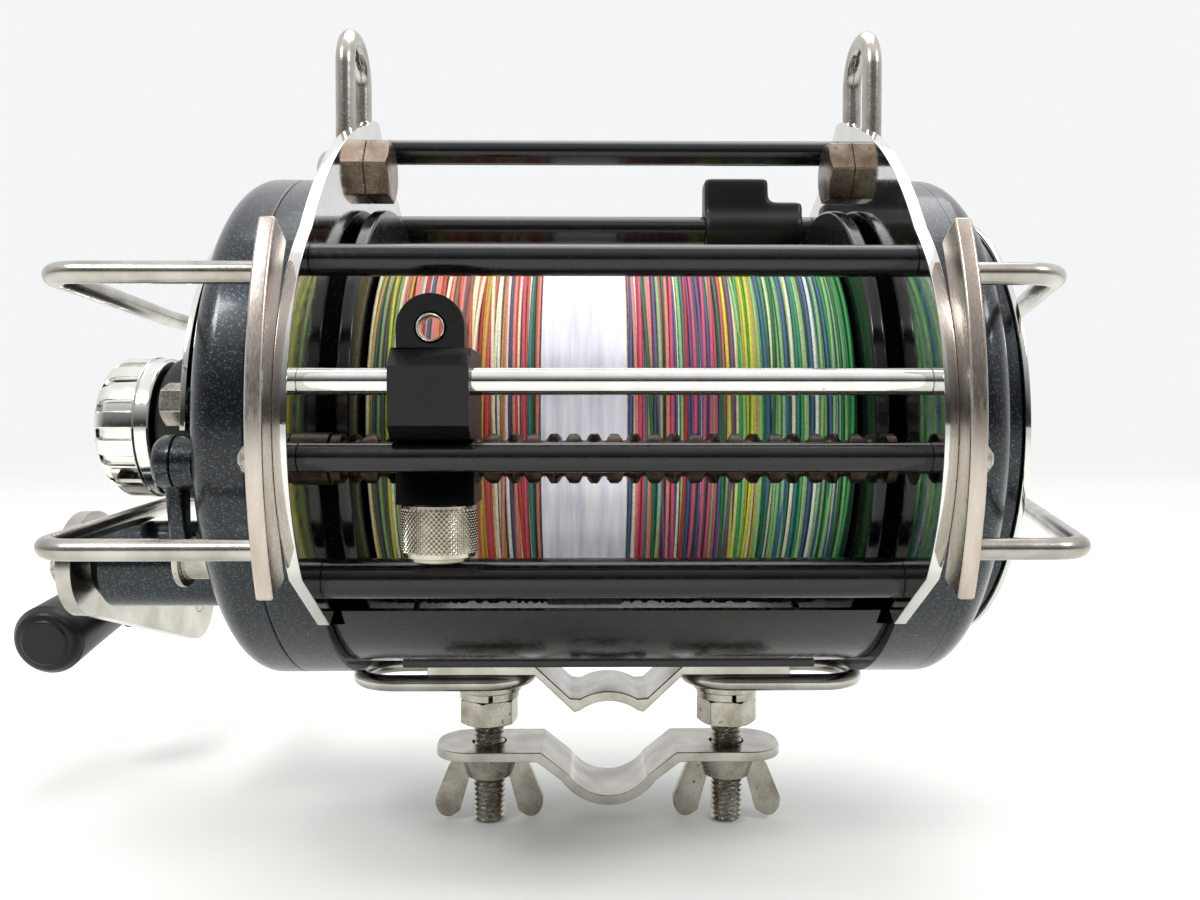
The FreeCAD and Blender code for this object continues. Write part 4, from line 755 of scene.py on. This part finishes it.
@dataclass
class WoundLine(Assembly):
    """The spool with its braid and the band of film tape."""

    wire: float = 0.41 * MM
    pitch: float = 0.68 * MM
    around: int = 60
    seed: int = 11
    streaks: int = 64

    def palette(self, place: float) -> list[Tone]:
        """Lists the tones that lie at a place along the spool, commoner ones repeated."""
        low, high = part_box("tape_band")
        bands = (
            (low.x - 29 * MM, "YELLOW LIGHT_GREEN OCHRE RED SALMON SLATE CREAM"),
            (
                low.x,
                "SCARLET SALMON ORANGE SALMON RED CREAM CREAM WHITE OCHRE PINK PURPLE SLATE BROWN ORANGE",
            ),
            (
                high.x + 23 * MM,
                "PINK PINK SALMON CREAM WHITE BLUE SLATE TEAL DEEP_GREEN BROWN RED LIGHT_GREEN PURPLE",
            ),
            (high.x + 27 * MM, "YELLOW YELLOW OCHRE GREEN"),
            (math.inf, "GREEN GREEN LIGHT_GREEN DEEP_GREEN LIGHT_GREEN TEAL WHITE BLUE LIGHT_GREEN CREAM"),
        )
        names = next(names for limit, names in bands if place < limit)
        return [Tone[name] for name in names.split()]

    def strand(
        self, curve: bpy.types.Curve, place: float, radius: float, sway: float, chance: random.Random
    ) -> None:
        """Adds one turn of line to the curve.

        Args:
            curve: the curve that holds all the turns.
            place: the turn's place along the spool.
            radius: the turn's radius.
            sway: how far the turn wanders along the spool.
            chance: the seeded source of variation.
        """
        first, second = chance.uniform(0, 2 * math.pi), chance.uniform(0, 2 * math.pi)
        turn = curve.splines.new("POLY")
        turn.points.add(self.around - 1)
        turn.use_cyclic_u = True
        for index, point in enumerate(turn.points):
            angle = 2 * math.pi * index / self.around
            x = place + sway * math.sin(angle + first) + 0.35 * sway * math.sin(2 * angle + second)
            point.co = (x, radius * math.cos(angle), AXIS_Z + radius * math.sin(angle), 1.0)

    def lay_line(self) -> Piece:
        """Winds the braid: a close layer of turns and a looser one that crosses it.

        Returns:
            The wound line as one mesh that carries its strands' colours.
        """
        chance = random.Random(self.seed)
        low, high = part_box("line_pack")
        tape_low, tape_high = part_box("tape_band")
        outer = high.z - AXIS_Z - self.wire
        margin = self.wire + 0.5 * MM
        curve = bpy.data.curves.new("wound_braid", "CURVE")
        curve.dimensions = "3D"
        curve.bevel_depth = self.wire
        curve.bevel_resolution = 1
        tones = []
        close = (outer - 0.55 * MM, 0.25 * MM, self.pitch)
        crossing = (outer - 0.1 * MM, 1.0 * MM, 2.1 * self.pitch)
        for radius, sway, pitch in (close, crossing):
            place = low.x + margin
            while place < high.x - margin:
                hidden = tape_low.x + 1.2 * MM < place < tape_high.x - 1.2 * MM
                room = min(place - low.x, high.x - place) - margin
                if not hidden:
                    own = min(chance.uniform(0.4, 1.5) * sway, max(room, 0.0) / 1.4)
                    self.strand(curve, place, radius + chance.uniform(-0.1, 0.1) * MM, own, chance)
                    tones.append(chance.choice(self.palette(place + chance.uniform(-3, 3) * MM)))
                place += pitch * chance.uniform(0.82, 1.18)
        wound = bpy.data.objects.new("wound_line", curve)
        bpy.context.scene.collection.objects.link(wound)
        pick(wound)
        bpy.ops.object.convert(target="MESH")
        wound = bpy.context.active_object
        each = len(wound.data.vertices) // len(tones)
        colours = np.repeat([linear(tone.value) for tone in tones], each, axis=0)
        carried = wound.data.attributes.new(BRAID.attribute, "FLOAT_COLOR", "POINT")
        carried.data.foreach_set("color", colours.ravel())
        edit_all(wound)
        bpy.ops.mesh.normals_make_consistent(inside=False)
        bpy.ops.object.mode_set(mode="OBJECT")
        return smooth(wound, 70.0)

    def drum(self) -> Piece:
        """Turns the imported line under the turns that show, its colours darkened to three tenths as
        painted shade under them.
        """
        low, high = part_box("line_pack")
        radius = high.z - AXIS_Z - 2.2 * self.wire
        inset = 0.4 * MM
        start, end = low.x + inset, high.x - inset
        profile = [(start, 0.0), (start, radius), (end, radius), (end, 0.0)]
        drum = lathe("packed_line", profile, Vector((0, 0, AXIS_Z)), steps=96)
        carried = drum.data.attributes.new(BRAID.attribute, "FLOAT_COLOR", "POINT")
        tones = (Tone.BROWN if vertex.co.x < 0 else Tone.DEEP_GREEN for vertex in drum.data.vertices)
        shade = np.array([linear(tone.value) for tone in tones])
        # multiplied by 0.3: painted shade where the turns above cover the line
        carried.data.foreach_set("color", shade.ravel() * 0.3)
        return smooth(drum)

    def tape(self) -> Piece:
        """Winds the film tape, its width drawn into soft ridges."""
        chance = random.Random(self.seed + 1)
        low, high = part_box("tape_band")
        outer = high.z - AXIS_Z
        inner = outer - 0.45 * MM
        profile = [(low.x, inner)]
        ridge = 0.0
        for step in range(self.streaks + 1):
            ridge = 0.6 * ridge + chance.uniform(0.0, 0.12) * MM
            place = low.x + (high.x - low.x) * step / self.streaks
            edge = 0.12 * MM if step in (0, self.streaks) else 0.0
            profile.append((place, outer - ridge - edge))
        profile += [(high.x, inner), (low.x, inner)]
        return smooth(lathe("film_tape", profile, Vector((0, 0, AXIS_Z)), steps=96), 60.0)

    def build(self) -> None:
        """Builds and dresses the spool, its line and its tape."""
        self.carry(BLACK_ENAMEL, ["spool"], 0.7, 3)
        self.take(self.lay_line(), BRAID, "line_pack")
        self.take(self.drum(), BRAID, body="spool", slot="braided_line")
        self.take(self.tape(), FILM_TAPE, "tape_band")
        self.coat(GEAR_STEEL, ["spool_shaft", "spool_pinion", "level_wind_drive_gear"])
        self.coat(DRAG_FIBRE, ["drag_discs"])


@dataclass
class LevelWind(Assembly):
    """Worm, line guide, line eye and the knurled pawl cap."""

    worm_pitch: float = 7.6 * MM
    groove_depth: float = 1.3 * MM
    groove_half: float = 1.25 * MM
    slice: float = 0.3 * MM
    knurls: int = 48
    knurl_rows: int = 8
    knurl_depth: float = 0.42 * MM

    def worm(self) -> Piece:
        """Turns the worm and cuts its two crossing helical grooves."""
        low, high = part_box("worm_shaft")
        centre = (low + high) / 2
        radius = (high.z - low.z) / 2
        journal = 3 * MM
        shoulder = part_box("thin_crossbars")[1].x - 4 * MM
        count = int(2 * shoulder / self.slice)
        profile = [(low.x, 0.0), (low.x, journal), (-shoulder, journal)]
        profile += [(-shoulder + 2 * shoulder * step / count, radius) for step in range(count + 1)]
        profile += [(shoulder, journal), (high.x, journal), (high.x, 0.0)]
        shaft = lathe("worm_shaft_finished", profile, Vector((0, centre.y, centre.z)), steps=44)

        def groove(points: np.ndarray) -> np.ndarray:
            angle, reach = polar(points, centre, ROUND_X)
            depth = np.zeros(len(points))
            for hand in (-1, 1):
                phase = points[:, 0] / self.worm_pitch + hand * angle / (2 * math.pi)
                away = np.abs(phase - np.round(phase)) * self.worm_pitch
                cut = np.clip(1 - (away / self.groove_half) ** 4, 0, 1)
                depth = np.maximum(depth, cut * self.groove_depth)
            inside = (np.abs(points[:, 0]) < shoulder - 2 * MM) & (reach > journal + 0.5 * MM)
            scale = np.where(inside, 1 - depth / np.maximum(reach, MM), 1.0)
            return draw_in(points, centre, ROUND_X, scale)

        return smooth(reshape(shaft, groove), 40.0)

    def guide(self) -> Piece:
        """Cuts the line guide's front into its three bands and rounds its corners."""
        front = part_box("line_guide")[0].y
        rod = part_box("guide_rod")
        deck = (rod[0].z + rod[1].z) / 2 + 6 * MM
        bar_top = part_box("thin_crossbars")[0].z + 6 * MM
        piece = edit_all(copied("line_guide"))
        for level, width in ((deck, 3.4 * MM), (bar_top, 2.4 * MM)):

            def fold(*ends: Vector, level: float = level) -> bool:
                return all(abs(end.y - front) < 0.05 * MM and abs(end.z - level) < MM for end in ends)

            select_edges(piece, fold)
            bpy.ops.mesh.bevel(offset=width, segments=1, affect="EDGES")
        bpy.ops.object.mode_set(mode="OBJECT")
        return soften(piece, 0.5, 3)

    def eye(self) -> Piece:
        """Turns the ring that the line runs through, its mouth flared."""
        low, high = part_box("guide_ring")
        centre = (low + high) / 2
        outer = (high.z - low.z) / 2
        bore = 2 * MM
        half = (high.y - low.y) / 2
        profile = []
        for step in range(24):
            angle = 2 * math.pi * step / 24
            along = half * math.sin(angle)
            reach = (outer + bore) / 2 - (outer - bore) / 2 * math.cos(angle)
            profile.append((along, reach))
        profile.append(profile[0])
        return smooth(lathe("guide_ring_finished", profile, centre, Along.Y, 48), 60.0)

    def pawl_cap(self) -> Piece:
        """Turns the pawl cap and rolls its diamond knurl."""
        low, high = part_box("pawl_cap")
        centre = (low + high) / 2
        radius = (high.x - low.x) / 2
        top, foot = high.z - centre.z, low.z - centre.z
        rows = 4 * self.knurl_rows
        knurl_top, knurl_foot = top - 1.1 * MM, foot + 2.4 * MM
        profile = [(top, 0.0), (top, radius - 0.5 * MM), (top - 0.35 * MM, radius - 0.1 * MM)]
        profile += [(knurl_top + 0.25 * MM, radius - 0.1 * MM)]
        span = knurl_foot - knurl_top
        profile += [(knurl_top + span * row / rows, radius - 0.02 * MM) for row in range(rows + 1)]
        profile += [
            (knurl_foot - 0.25 * MM, radius - 0.35 * MM),
            (foot + 1.35 * MM, radius - 0.5 * MM),
            (foot + 1.1 * MM, radius - 1.5 * MM),
            (foot + 0.5 * MM, radius - 1.8 * MM),
            (foot + 0.1 * MM, radius - 2.9 * MM),
            (foot, 0.0),
        ]
        cap = lathe("pawl_cap_finished", profile, centre, Along.Z, 4 * self.knurls)

        def roll(points: np.ndarray) -> np.ndarray:
            angle, reach = polar(points, centre, ROUND_Z)
            turn = angle * self.knurls / (2 * math.pi)
            row = (points[:, 2] - centre.z - knurl_top) / span * self.knurl_rows
            inside = (row > -0.01) & (row < self.knurl_rows + 0.01) & (reach > radius - 0.06 * MM)
            near = np.minimum(*(np.abs(lead - np.round(lead)) for lead in (turn + row, turn - row)))
            depth = np.where(inside, self.knurl_depth * np.clip(1 - near / 0.34, 0, 1), 0.0)
            return draw_in(points, centre, ROUND_Z, 1 - depth / np.maximum(reach, MM))

        return smooth(reshape(cap, roll), 30.0)

    def build(self) -> None:
        """Builds and dresses the level wind."""
        self.take(self.worm(), OILED_BRONZE, "worm_shaft")
        self.take(self.guide(), BLACK_NYLON, "line_guide")
        self.take(self.eye(), BRIGHT_CHROME, "guide_ring")
        self.take(self.pawl_cap(), DULL_NICKEL, "pawl_cap")
        self.coat(OILED_BRONZE, ["worm_gear", "idler_gear"])
        self.coat(GEAR_STEEL, ["pawl"])


@dataclass
class HandleSide(Assembly):
    """Bright disc, rubber boot, drag knob, shaft tube and small levers."""

    scallops: int = 16
    scallop_depth: float = 1.1 * MM

    def knob(self) -> Piece:
        """Turns the drag knob, then sinks the pockets between its ribs."""
        low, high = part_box("drag_knob")
        centre = Vector(((low.x + high.x) / 2, 0, AXIS_Z))
        radius = (high.z - low.z) / 2
        half = (high.x - low.x) / 2
        collar = half - 3.6 * MM
        profile = [
            (half, 0.0),
            (half, radius - 1.0 * MM),
            (half - 0.5 * MM, radius - 0.5 * MM),
            (collar + 0.3 * MM, radius - 0.5 * MM),
            (collar, radius),
            (-half + 4.2 * MM, radius - 0.2 * MM),
            (-half + 2.4 * MM, radius - 0.9 * MM),
            (-half + 0.9 * MM, radius - 2.4 * MM),
            (-half, radius - 4.6 * MM),
            (-half + 0.4 * MM, radius - 6.0 * MM),
            (-half + 0.4 * MM, 0.0),
        ]
        steps = self.scallops * 6
        piece = edit_all(lathe("drag_knob_finished", profile, centre, steps=steps))
        bpy.ops.mesh.select_mode(type="FACE")

        def pocket(face: bmesh.types.BMFace) -> bool:
            middle = face.calc_center_median()
            if not -half + 0.95 * MM < middle.x - centre.x < collar - 0.05 * MM:
                return False
            angle = math.atan2(middle.z - AXIS_Z, middle.y) % (2 * math.pi)
            return int(angle / (2 * math.pi) * steps) % 6 < 3

        select_faces(piece, pocket)
        bpy.ops.mesh.inset(thickness=0.35 * MM, depth=0.0, use_boundary=True, use_even_offset=True)
        bpy.ops.mesh.extrude_region_shrink_fatten(TRANSFORM_OT_shrink_fatten={"value": -self.scallop_depth})
        close_up(piece)
        return soften(piece, 0.25, 2, 28.0)

    def boot(self) -> Piece:
        """Turns the two-step boot with its rolled rims."""
        low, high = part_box("rubber_boot")
        radius = (high.z - low.z) / 2
        length = high.x - low.x
        neck = radius - 3.5 * MM
        outline = [(0.0, 0.0), (0.0, radius - 0.4 * MM), (0.4 * MM, radius)]
        wide_step = ((0.2, 0.0), (0.38, 0.3), (0.5, 1.3))
        narrow_step = ((0.74, 0.1), (0.86, 0.7), (0.94, 1.8))
        outline += [(length * share, radius - drop * MM) for share, drop in wide_step]
        outline += [(length * 0.56, radius - 3.0 * MM), (length * 0.59, neck - 0.8 * MM)]
        outline.append((length * 0.63, neck))
        outline += [(length * share, neck - drop * MM) for share, drop in narrow_step]
        outline += [(length * 0.985, neck - 3.0 * MM), (length, neck - 4.2 * MM), (length, 0.0)]
        profile = [(-distance, reach) for distance, reach in outline]
        boot = lathe("rubber_boot_finished", profile, Vector((high.x, 0, AXIS_Z)), steps=80)
        return smooth(boot, 50.0)

    def nuts(self) -> Piece:
        """Hexagon nuts that hold the bright disc."""
        low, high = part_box("disc_nuts")
        length = high.x - low.x
        reach = (high.y - low.y) / 2 - 4 * MM
        parts = []
        for angle in (174.0, 90.0, 6.0):
            lean = math.radians(angle)
            place = (reach * math.cos(lean), AXIS_Z + reach * math.sin(lean))
            centre = Vector(((low.x + high.x) / 2, *place))
            parts.append(chamfered_hex("disc_nut", 8 * MM, length, centre, Along.X, 20.0, -1))
        return join("disc_nuts_finished", parts)

    def clutch(self) -> Piece:
        """Turns the clutch hub with its parting line and carves its tapered blade."""
        low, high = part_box("clutch_lever")
        radius = (high.y - low.y) / 2
        hub = Vector((low.x, (low.y + high.y) / 2, high.z - radius))
        length = high.x - low.x
        profile = [(length, 0.0), (length, radius - 0.2 * MM), (length * 0.56, radius)]
        profile += [(length * 0.53, radius - 0.5 * MM), (length * 0.5, radius)]
        profile += [(length * 0.24, radius - 0.2 * MM), (length * 0.1, radius - 1.0 * MM)]
        profile += [(length * 0.02, radius - 2.6 * MM), (0.0, radius - 4.2 * MM), (0.0, 0.0)]
        barrel = smooth(lathe("clutch_hub", profile, hub, steps=48), 40.0)
        deselect()
        bpy.ops.mesh.primitive_cube_add(size=1.0, location=(hub.x + 4 * MM, hub.y, (low.z + hub.z) / 2))
        blade = bpy.context.active_object
        blade.scale = (3.6 * MM, 5.6 * MM, hub.z - low.z)
        settle(blade)

        def taper(points: np.ndarray) -> np.ndarray:
            share = np.clip((hub.z - points[:, 2]) / (hub.z - low.z), 0, 1)
            points[:, 1] = hub.y + (points[:, 1] - hub.y) * (1.25 - 0.8 * share)
            points[:, 0] += share * 0.9 * MM
            return points

        modify(blade, "BEVEL", width=1.2 * MM, segments=3)
        reshape(blade, taper)
        return join("clutch_lever_finished", [barrel, smooth(blade, 50.0)])

    def build(self) -> None:
        """Builds and dresses the handle side."""
        self.carry(MIRROR_STAINLESS, ["handle_side_disc"], 0.2)
        self.carry(HOUSING_ENAMEL, ["disc_spacers", "handle_shaft_tube"], 0.3)
        self.carry(WORN_HARDWARE, ["flanged_bushing"], 0.3)
        self.take(self.nuts(), WORN_HARDWARE, "disc_nuts")
        self.take(self.boot(), BLACK_RUBBER, "rubber_boot")
        self.take(self.knob(), BRIGHT_CHROME, "drag_knob")
        self.take(self.clutch(), HOUSING_ENAMEL, "clutch_lever")
        self.coat(OILED_BRONZE, ["handle_shaft_bearings"])


@dataclass
class Crank(Assembly):
    """Crank arm, its nut and post, and the T grip."""

    tilt: float = 9.0
    radius: float = 9.5 * MM
    half: float = 37 * MM

    def grip(self) -> Piece:
        """Turns the T grip with its end caps and joins its neck."""
        low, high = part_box("handle_grip")
        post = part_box("grip_post")
        centre = Vector((0, (post[0].y + post[1].y) / 2, (post[0].z + post[1].z) / 2))
        radius, half = self.radius, self.half
        centre.x = low.x + radius
        profile = [(-half, 0.0), (-half, radius * 0.62), (-half + 0.5 * MM, radius * 0.66)]
        profile += [(-half + 0.6 * MM, radius * 0.74), (-half + 0.9 * MM, radius * 0.84)]
        profile += [(-half + 3 * MM, radius), (-half * 0.5, radius - 0.5 * MM), (0.0, radius - 0.9 * MM)]
        profile += [(half * 0.5, radius - 0.5 * MM), (half - 3 * MM, radius)]
        profile += [(half - 0.9 * MM, radius * 0.84), (half, radius * 0.62), (half, 0.0)]
        bar = soften(lathe("grip_bar", profile, centre, Along.Y, 64), 0.3, 2, 40.0)
        bar.data.transform(about(centre, math.radians(self.tilt), Along.X))
        reach = high.x - centre.x
        neck_profile = [(0.0, 0.0), (radius * 0.7, 8.6 * MM), (reach * 0.6, 7.0 * MM)]
        neck_profile += [(reach - 0.6 * MM, 6.6 * MM), (reach, 6.0 * MM), (reach, 0.0)]
        neck = smooth(lathe("grip_neck", neck_profile, centre, steps=48), 45.0)
        return join("handle_grip_finished", [bar, neck])

    def build(self) -> None:
        """Builds and dresses the crank."""
        self.carry(SATIN_STAINLESS, ["crank_arm"], 0.7, 3)
        self.carry(WORN_HARDWARE, ["grip_post"], 0.2, 1)
        low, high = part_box("crank_nut")
        nut = chamfered_hex("crank_nut_finished", 10 * MM, high.x - low.x, (low + high) / 2, Along.X, 10.0)
        self.take(nut, WORN_HARDWARE, "crank_nut")
        self.take(self.grip(), BLACK_NYLON, "handle_grip")
        self.coat(GEAR_STEEL, ["handle_shaft", "main_gear"])


@dataclass
class RodClamp(Assembly):
    """Foot plate, wire loops, studs, washers, nuts and the clamp plate."""

    pitch: float = 1.25 * MM
    thread_depth: float = 0.7 * MM
    flats: float = 13 * MM
    nut_turns: tuple[float, float] = (-8.0, 22.0)
    split_turn: float = -1.5
    hub: float = 7.5 * MM
    paddle_round: float = 2.6 * MM
    ear_round: float = 8.5 * MM

    def studs(self) -> Piece:
        """Rolls the threads on the two studs."""
        low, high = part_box("clamp_studs")
        radius = (high.y - low.y) / 2
        length = high.z - low.z
        rows = int(length / self.pitch * 8)
        parts = []
        for side in Side:
            centre = Vector((side.value * (high.x - radius), 0, low.z))
            profile = [(0.0, 0.0), (0.0, radius - 1.2 * MM)]
            profile += [(0.6 * MM + (length - 1.2 * MM) * row / rows, radius) for row in range(rows + 1)]
            profile += [(length, radius - 1.2 * MM), (length, 0.0)]
            stud = lathe(f"stud_{side.name}", profile, centre, Along.Z, 28)

            def thread(points: np.ndarray, centre: Vector = centre) -> np.ndarray:
                angle, reach = polar(points, centre, ROUND_Z)
                phase = (points[:, 2] - centre.z) / self.pitch + angle / (2 * math.pi)
                depth = np.abs(phase - np.round(phase)) * 2 * self.thread_depth
                scale = np.where(reach > radius - 0.1 * MM, 1 - depth / radius, 1.0)
                return draw_in(points, centre, ROUND_Z, scale)

            parts.append(smooth(reshape(stud, thread), 25.0))
        return join("clamp_studs_finished", parts)

    def washers(self) -> Piece:
        """Turns the flat washers and bends the split spring washers."""
        low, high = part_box("stud_washers")
        radius = (high.y - low.y) / 2
        height = high.z - low.z
        flat = 1.8 * MM
        bore = 4.05 * MM
        rim = radius - 0.7 * MM
        parts = []
        for side in Side:
            centre = Vector((side.value * (high.x - radius), 0, low.z))
            profile = [(height - flat, bore), (height - flat, radius), (height, radius), (height, bore)]
            ring = lathe(f"washer_{side.name}", [*profile, profile[0]], centre, Along.Z, 48)
            parts.append(soften(ring, 0.25, 2))
            deselect()
            middle = (rim + bore) / 2
            bpy.ops.mesh.primitive_plane_add(size=1.0, location=(0, 0, 0))
            split = bpy.context.active_object
            split.scale = (rim - bore, height - flat, 1.0)
            split.rotation_euler = (math.pi / 2, 0, 0)
            settle(split)
            split.data.transform(Matrix.Translation(centre + Vector((middle, 0, (height - flat) / 2))))
            split.data.transform(about(centre, self.split_turn, Along.Z))
            edit_all(split)
            bpy.ops.mesh.spin(steps=44, angle=math.radians(352), center=centre, axis=(0, 0, 1))
            close_up(split)
            parts.append(soften(split, 0.2, 1))
        return join("stud_washers_finished", parts)

    def nuts(self) -> Piece:
        """Hexagon nuts under the washers, each stopped at its own turn."""
        low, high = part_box("stud_nuts")
        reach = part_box("clamp_studs")[1].x - 4 * MM
        parts = []
        for side, turn in zip(Side, self.nut_turns):
            centre = Vector((side.value * reach, 0, (low.z + high.z) / 2))
            nut = chamfered_hex(f"nut_{side.name}", self.flats, high.z - low.z, centre, Along.Z, turn)
            parts.append(nut)
        return join("stud_nuts_finished", parts)

    def wing_nut(self, node: str) -> Piece:
        """Rounds a wing nut's two paddles and breaks its edges."""
        low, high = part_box(node)
        centre = (low + high) / 2
        piece = edit_all(copied(node))

        def tip(a: Vector, b: Vector) -> bool:
            level = math.hypot(a.x - b.x, a.z - b.z) < 0.05 * MM
            return level and abs(a.y - b.y) > MM and abs(a.x - centre.x) > self.hub

        select_edges(piece, tip)
        bpy.ops.mesh.bevel(offset=self.paddle_round, segments=6, affect="EDGES", clamp_overlap=True)
        bpy.ops.object.mode_set(mode="OBJECT")
        return soften(piece, 0.35, 3)

    def clamp_plate(self) -> Piece:
        """Rounds the clamp plate's ears in plan and breaks its edges."""
        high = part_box("clamp_plate")[1]
        piece = edit_all(copied("clamp_plate"))
        near = 0.1 * MM

        def corner(a: Vector, b: Vector) -> bool:
            upright = (a - b).xy.length < near
            at_end = abs(abs(a.x) - high.x) < near
            return upright and at_end and abs(abs(a.y) - high.y) < near

        select_edges(piece, corner)
        bpy.ops.mesh.bevel(offset=self.ear_round, segments=8, affect="EDGES")
        bpy.ops.object.mode_set(mode="OBJECT")
        return soften(piece, 0.4, 2)

    def build(self) -> None:
        """Builds and dresses the clamp."""
        self.carry(SATIN_STAINLESS, ["foot_plate"], 0.35)
        self.carry(SATIN_STAINLESS, ["foot_loops"], 0.1, 1)
        for node in ("handle_side_wing_nut", "far_side_wing_nut"):
            self.take(self.wing_nut(node), WORN_HARDWARE, node)
        self.take(self.studs(), WORN_HARDWARE, "clamp_studs")
        self.take(self.washers(), WORN_HARDWARE, "stud_washers")
        self.take(self.nuts(), WORN_HARDWARE, "stud_nuts")
        self.take(self.clamp_plate(), SATIN_STAINLESS, "clamp_plate")


@dataclass
class ThumbLever(Assembly):
    """The line lever on the rear bar."""

    def build(self) -> None:
        """Builds and dresses the lever, its tongue well rounded."""
        self.take(melted("thumb_lever", 0.5, 50), BLACK_NYLON, "thumb_lever")


@dataclass
class Studio:
    """Floor, lights and camera."""

    lens: float = 30.0
    eye: tuple[float, float, float] = (-4.8 * MM, -252 * MM, 78.2 * MM)
    dip: float = 1.32
    pan: float = 0.63
    floor_reach: float = 60.0
    dim: float = 0.05
    glow: float = 1.25
    backdrop: float = 0.94

    def floor(self) -> None:
        """Lays a plain pale floor under the lowest point."""
        deselect()
        bpy.ops.mesh.primitive_plane_add(size=self.floor_reach, location=(0, 0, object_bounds()[0].z))
        floor = bpy.context.active_object
        floor.name = "studio_floor"
        pale = Finish("matt_paper", "#f1f2ee", "#edefea", 0.0, 0.85, 0.05, 400.0, 1.0, 0.0)
        floor.data.materials.append(pale.material())
        floor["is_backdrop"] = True

    def room(self) -> None:
        """Surrounds the reel with a pale room that is bright above and behind, and dim in front."""
        world = bpy.data.worlds.new("pale_room")
        world.use_nodes = True
        tree = world.node_tree
        way = add(tree, "TexCoord").outputs["Generated"]
        lean = add(tree, "VectorMath", {0: way}, operation="DOT_PRODUCT")
        lean.inputs[1].default_value = (0.0, 0.6, 0.8)
        share = add(tree, "MapRange", {0: lean.outputs["Value"]}, From_Min=-0.45, From_Max=0.3)
        share.inputs["To Min"].default_value = self.dim
        rise = add(tree, "SeparateXYZ", {0: way})
        above = add(tree, "MapRange", {0: rise.outputs[2]}, From_Min=0.35, From_Max=0.8, To_Min=0.98)
        above.inputs["To Max"].default_value = self.glow
        lit = add(tree, "Math", {0: share.outputs[0], 1: above.outputs[0]}, operation="MULTIPLY")
        seen = add(tree, "LightPath").outputs["Is Camera Ray"]
        both = add(tree, "Mix", {0: seen, 2: lit.outputs[0]})
        both.inputs[3].default_value = self.backdrop
        background = tree.nodes["Background"]
        background.inputs["Color"].default_value = linear("#fbfcfd")
        tree.links.new(both.outputs[0], background.inputs["Strength"])
        bpy.context.scene.world = world

    def lamp(self, name: str, place: Sequence[float], size: float, power: float) -> None:
        """Hangs a soft square lamp that faces the reel.

        Args:
            name: the lamp's name.
            place: where it hangs.
            size: its side.
            power: its power in watts.
        """
        data = bpy.data.lights.new(name, "AREA")
        data.size = size
        data.energy = power
        lamp = bpy.data.objects.new(name, data)
        bpy.context.scene.collection.objects.link(lamp)
        lamp.location = place
        target = Vector((0, 0, AXIS_Z))
        lamp.rotation_euler = (target - Vector(place)).to_track_quat("-Z", "Y").to_euler()

    def camera(self) -> None:
        """Sets the camera a short way in front, looking a little down."""
        data = bpy.data.cameras.new("front_camera")
        data.lens = self.lens
        data.clip_start = 0.01
        camera = bpy.data.objects.new("front_camera", data)
        bpy.context.scene.collection.objects.link(camera)
        camera.location = self.eye
        camera.rotation_euler = (math.radians(90 - self.dip), 0, math.radians(-self.pan))
        bpy.context.scene.camera = camera

    def build(self) -> None:
        """Builds the studio."""
        self.camera()
        self.floor()
        self.room()
        bpy.context.scene.view_settings.view_transform = "Standard"
        self.lamp("overhead_softbox", (0.05, 0.2, 0.9), 0.7, 4.0)
        self.lamp("left_softbox", (-0.55, -0.6, 0.8), 0.25, 5.0)
        self.lamp("right_softbox", (0.7, -0.5, 0.7), 0.25, 3.0)


def main() -> None:
    """Builds every sub-assembly in order."""
    logging.basicConfig(level=logging.INFO, format="%(message)s")
    Studio().build()
    body = (Housings, SideGuards, CrossBars, WoundLine, LevelWind)
    for kind in body + (HandleSide, Crank, RodClamp, ThumbLever):
        part = kind()
        part.build()
        LOG.info("%s holds %d pieces", type(part).__name__, len(part.made))
    deselect()


if __name__ == "__main__":
    main()
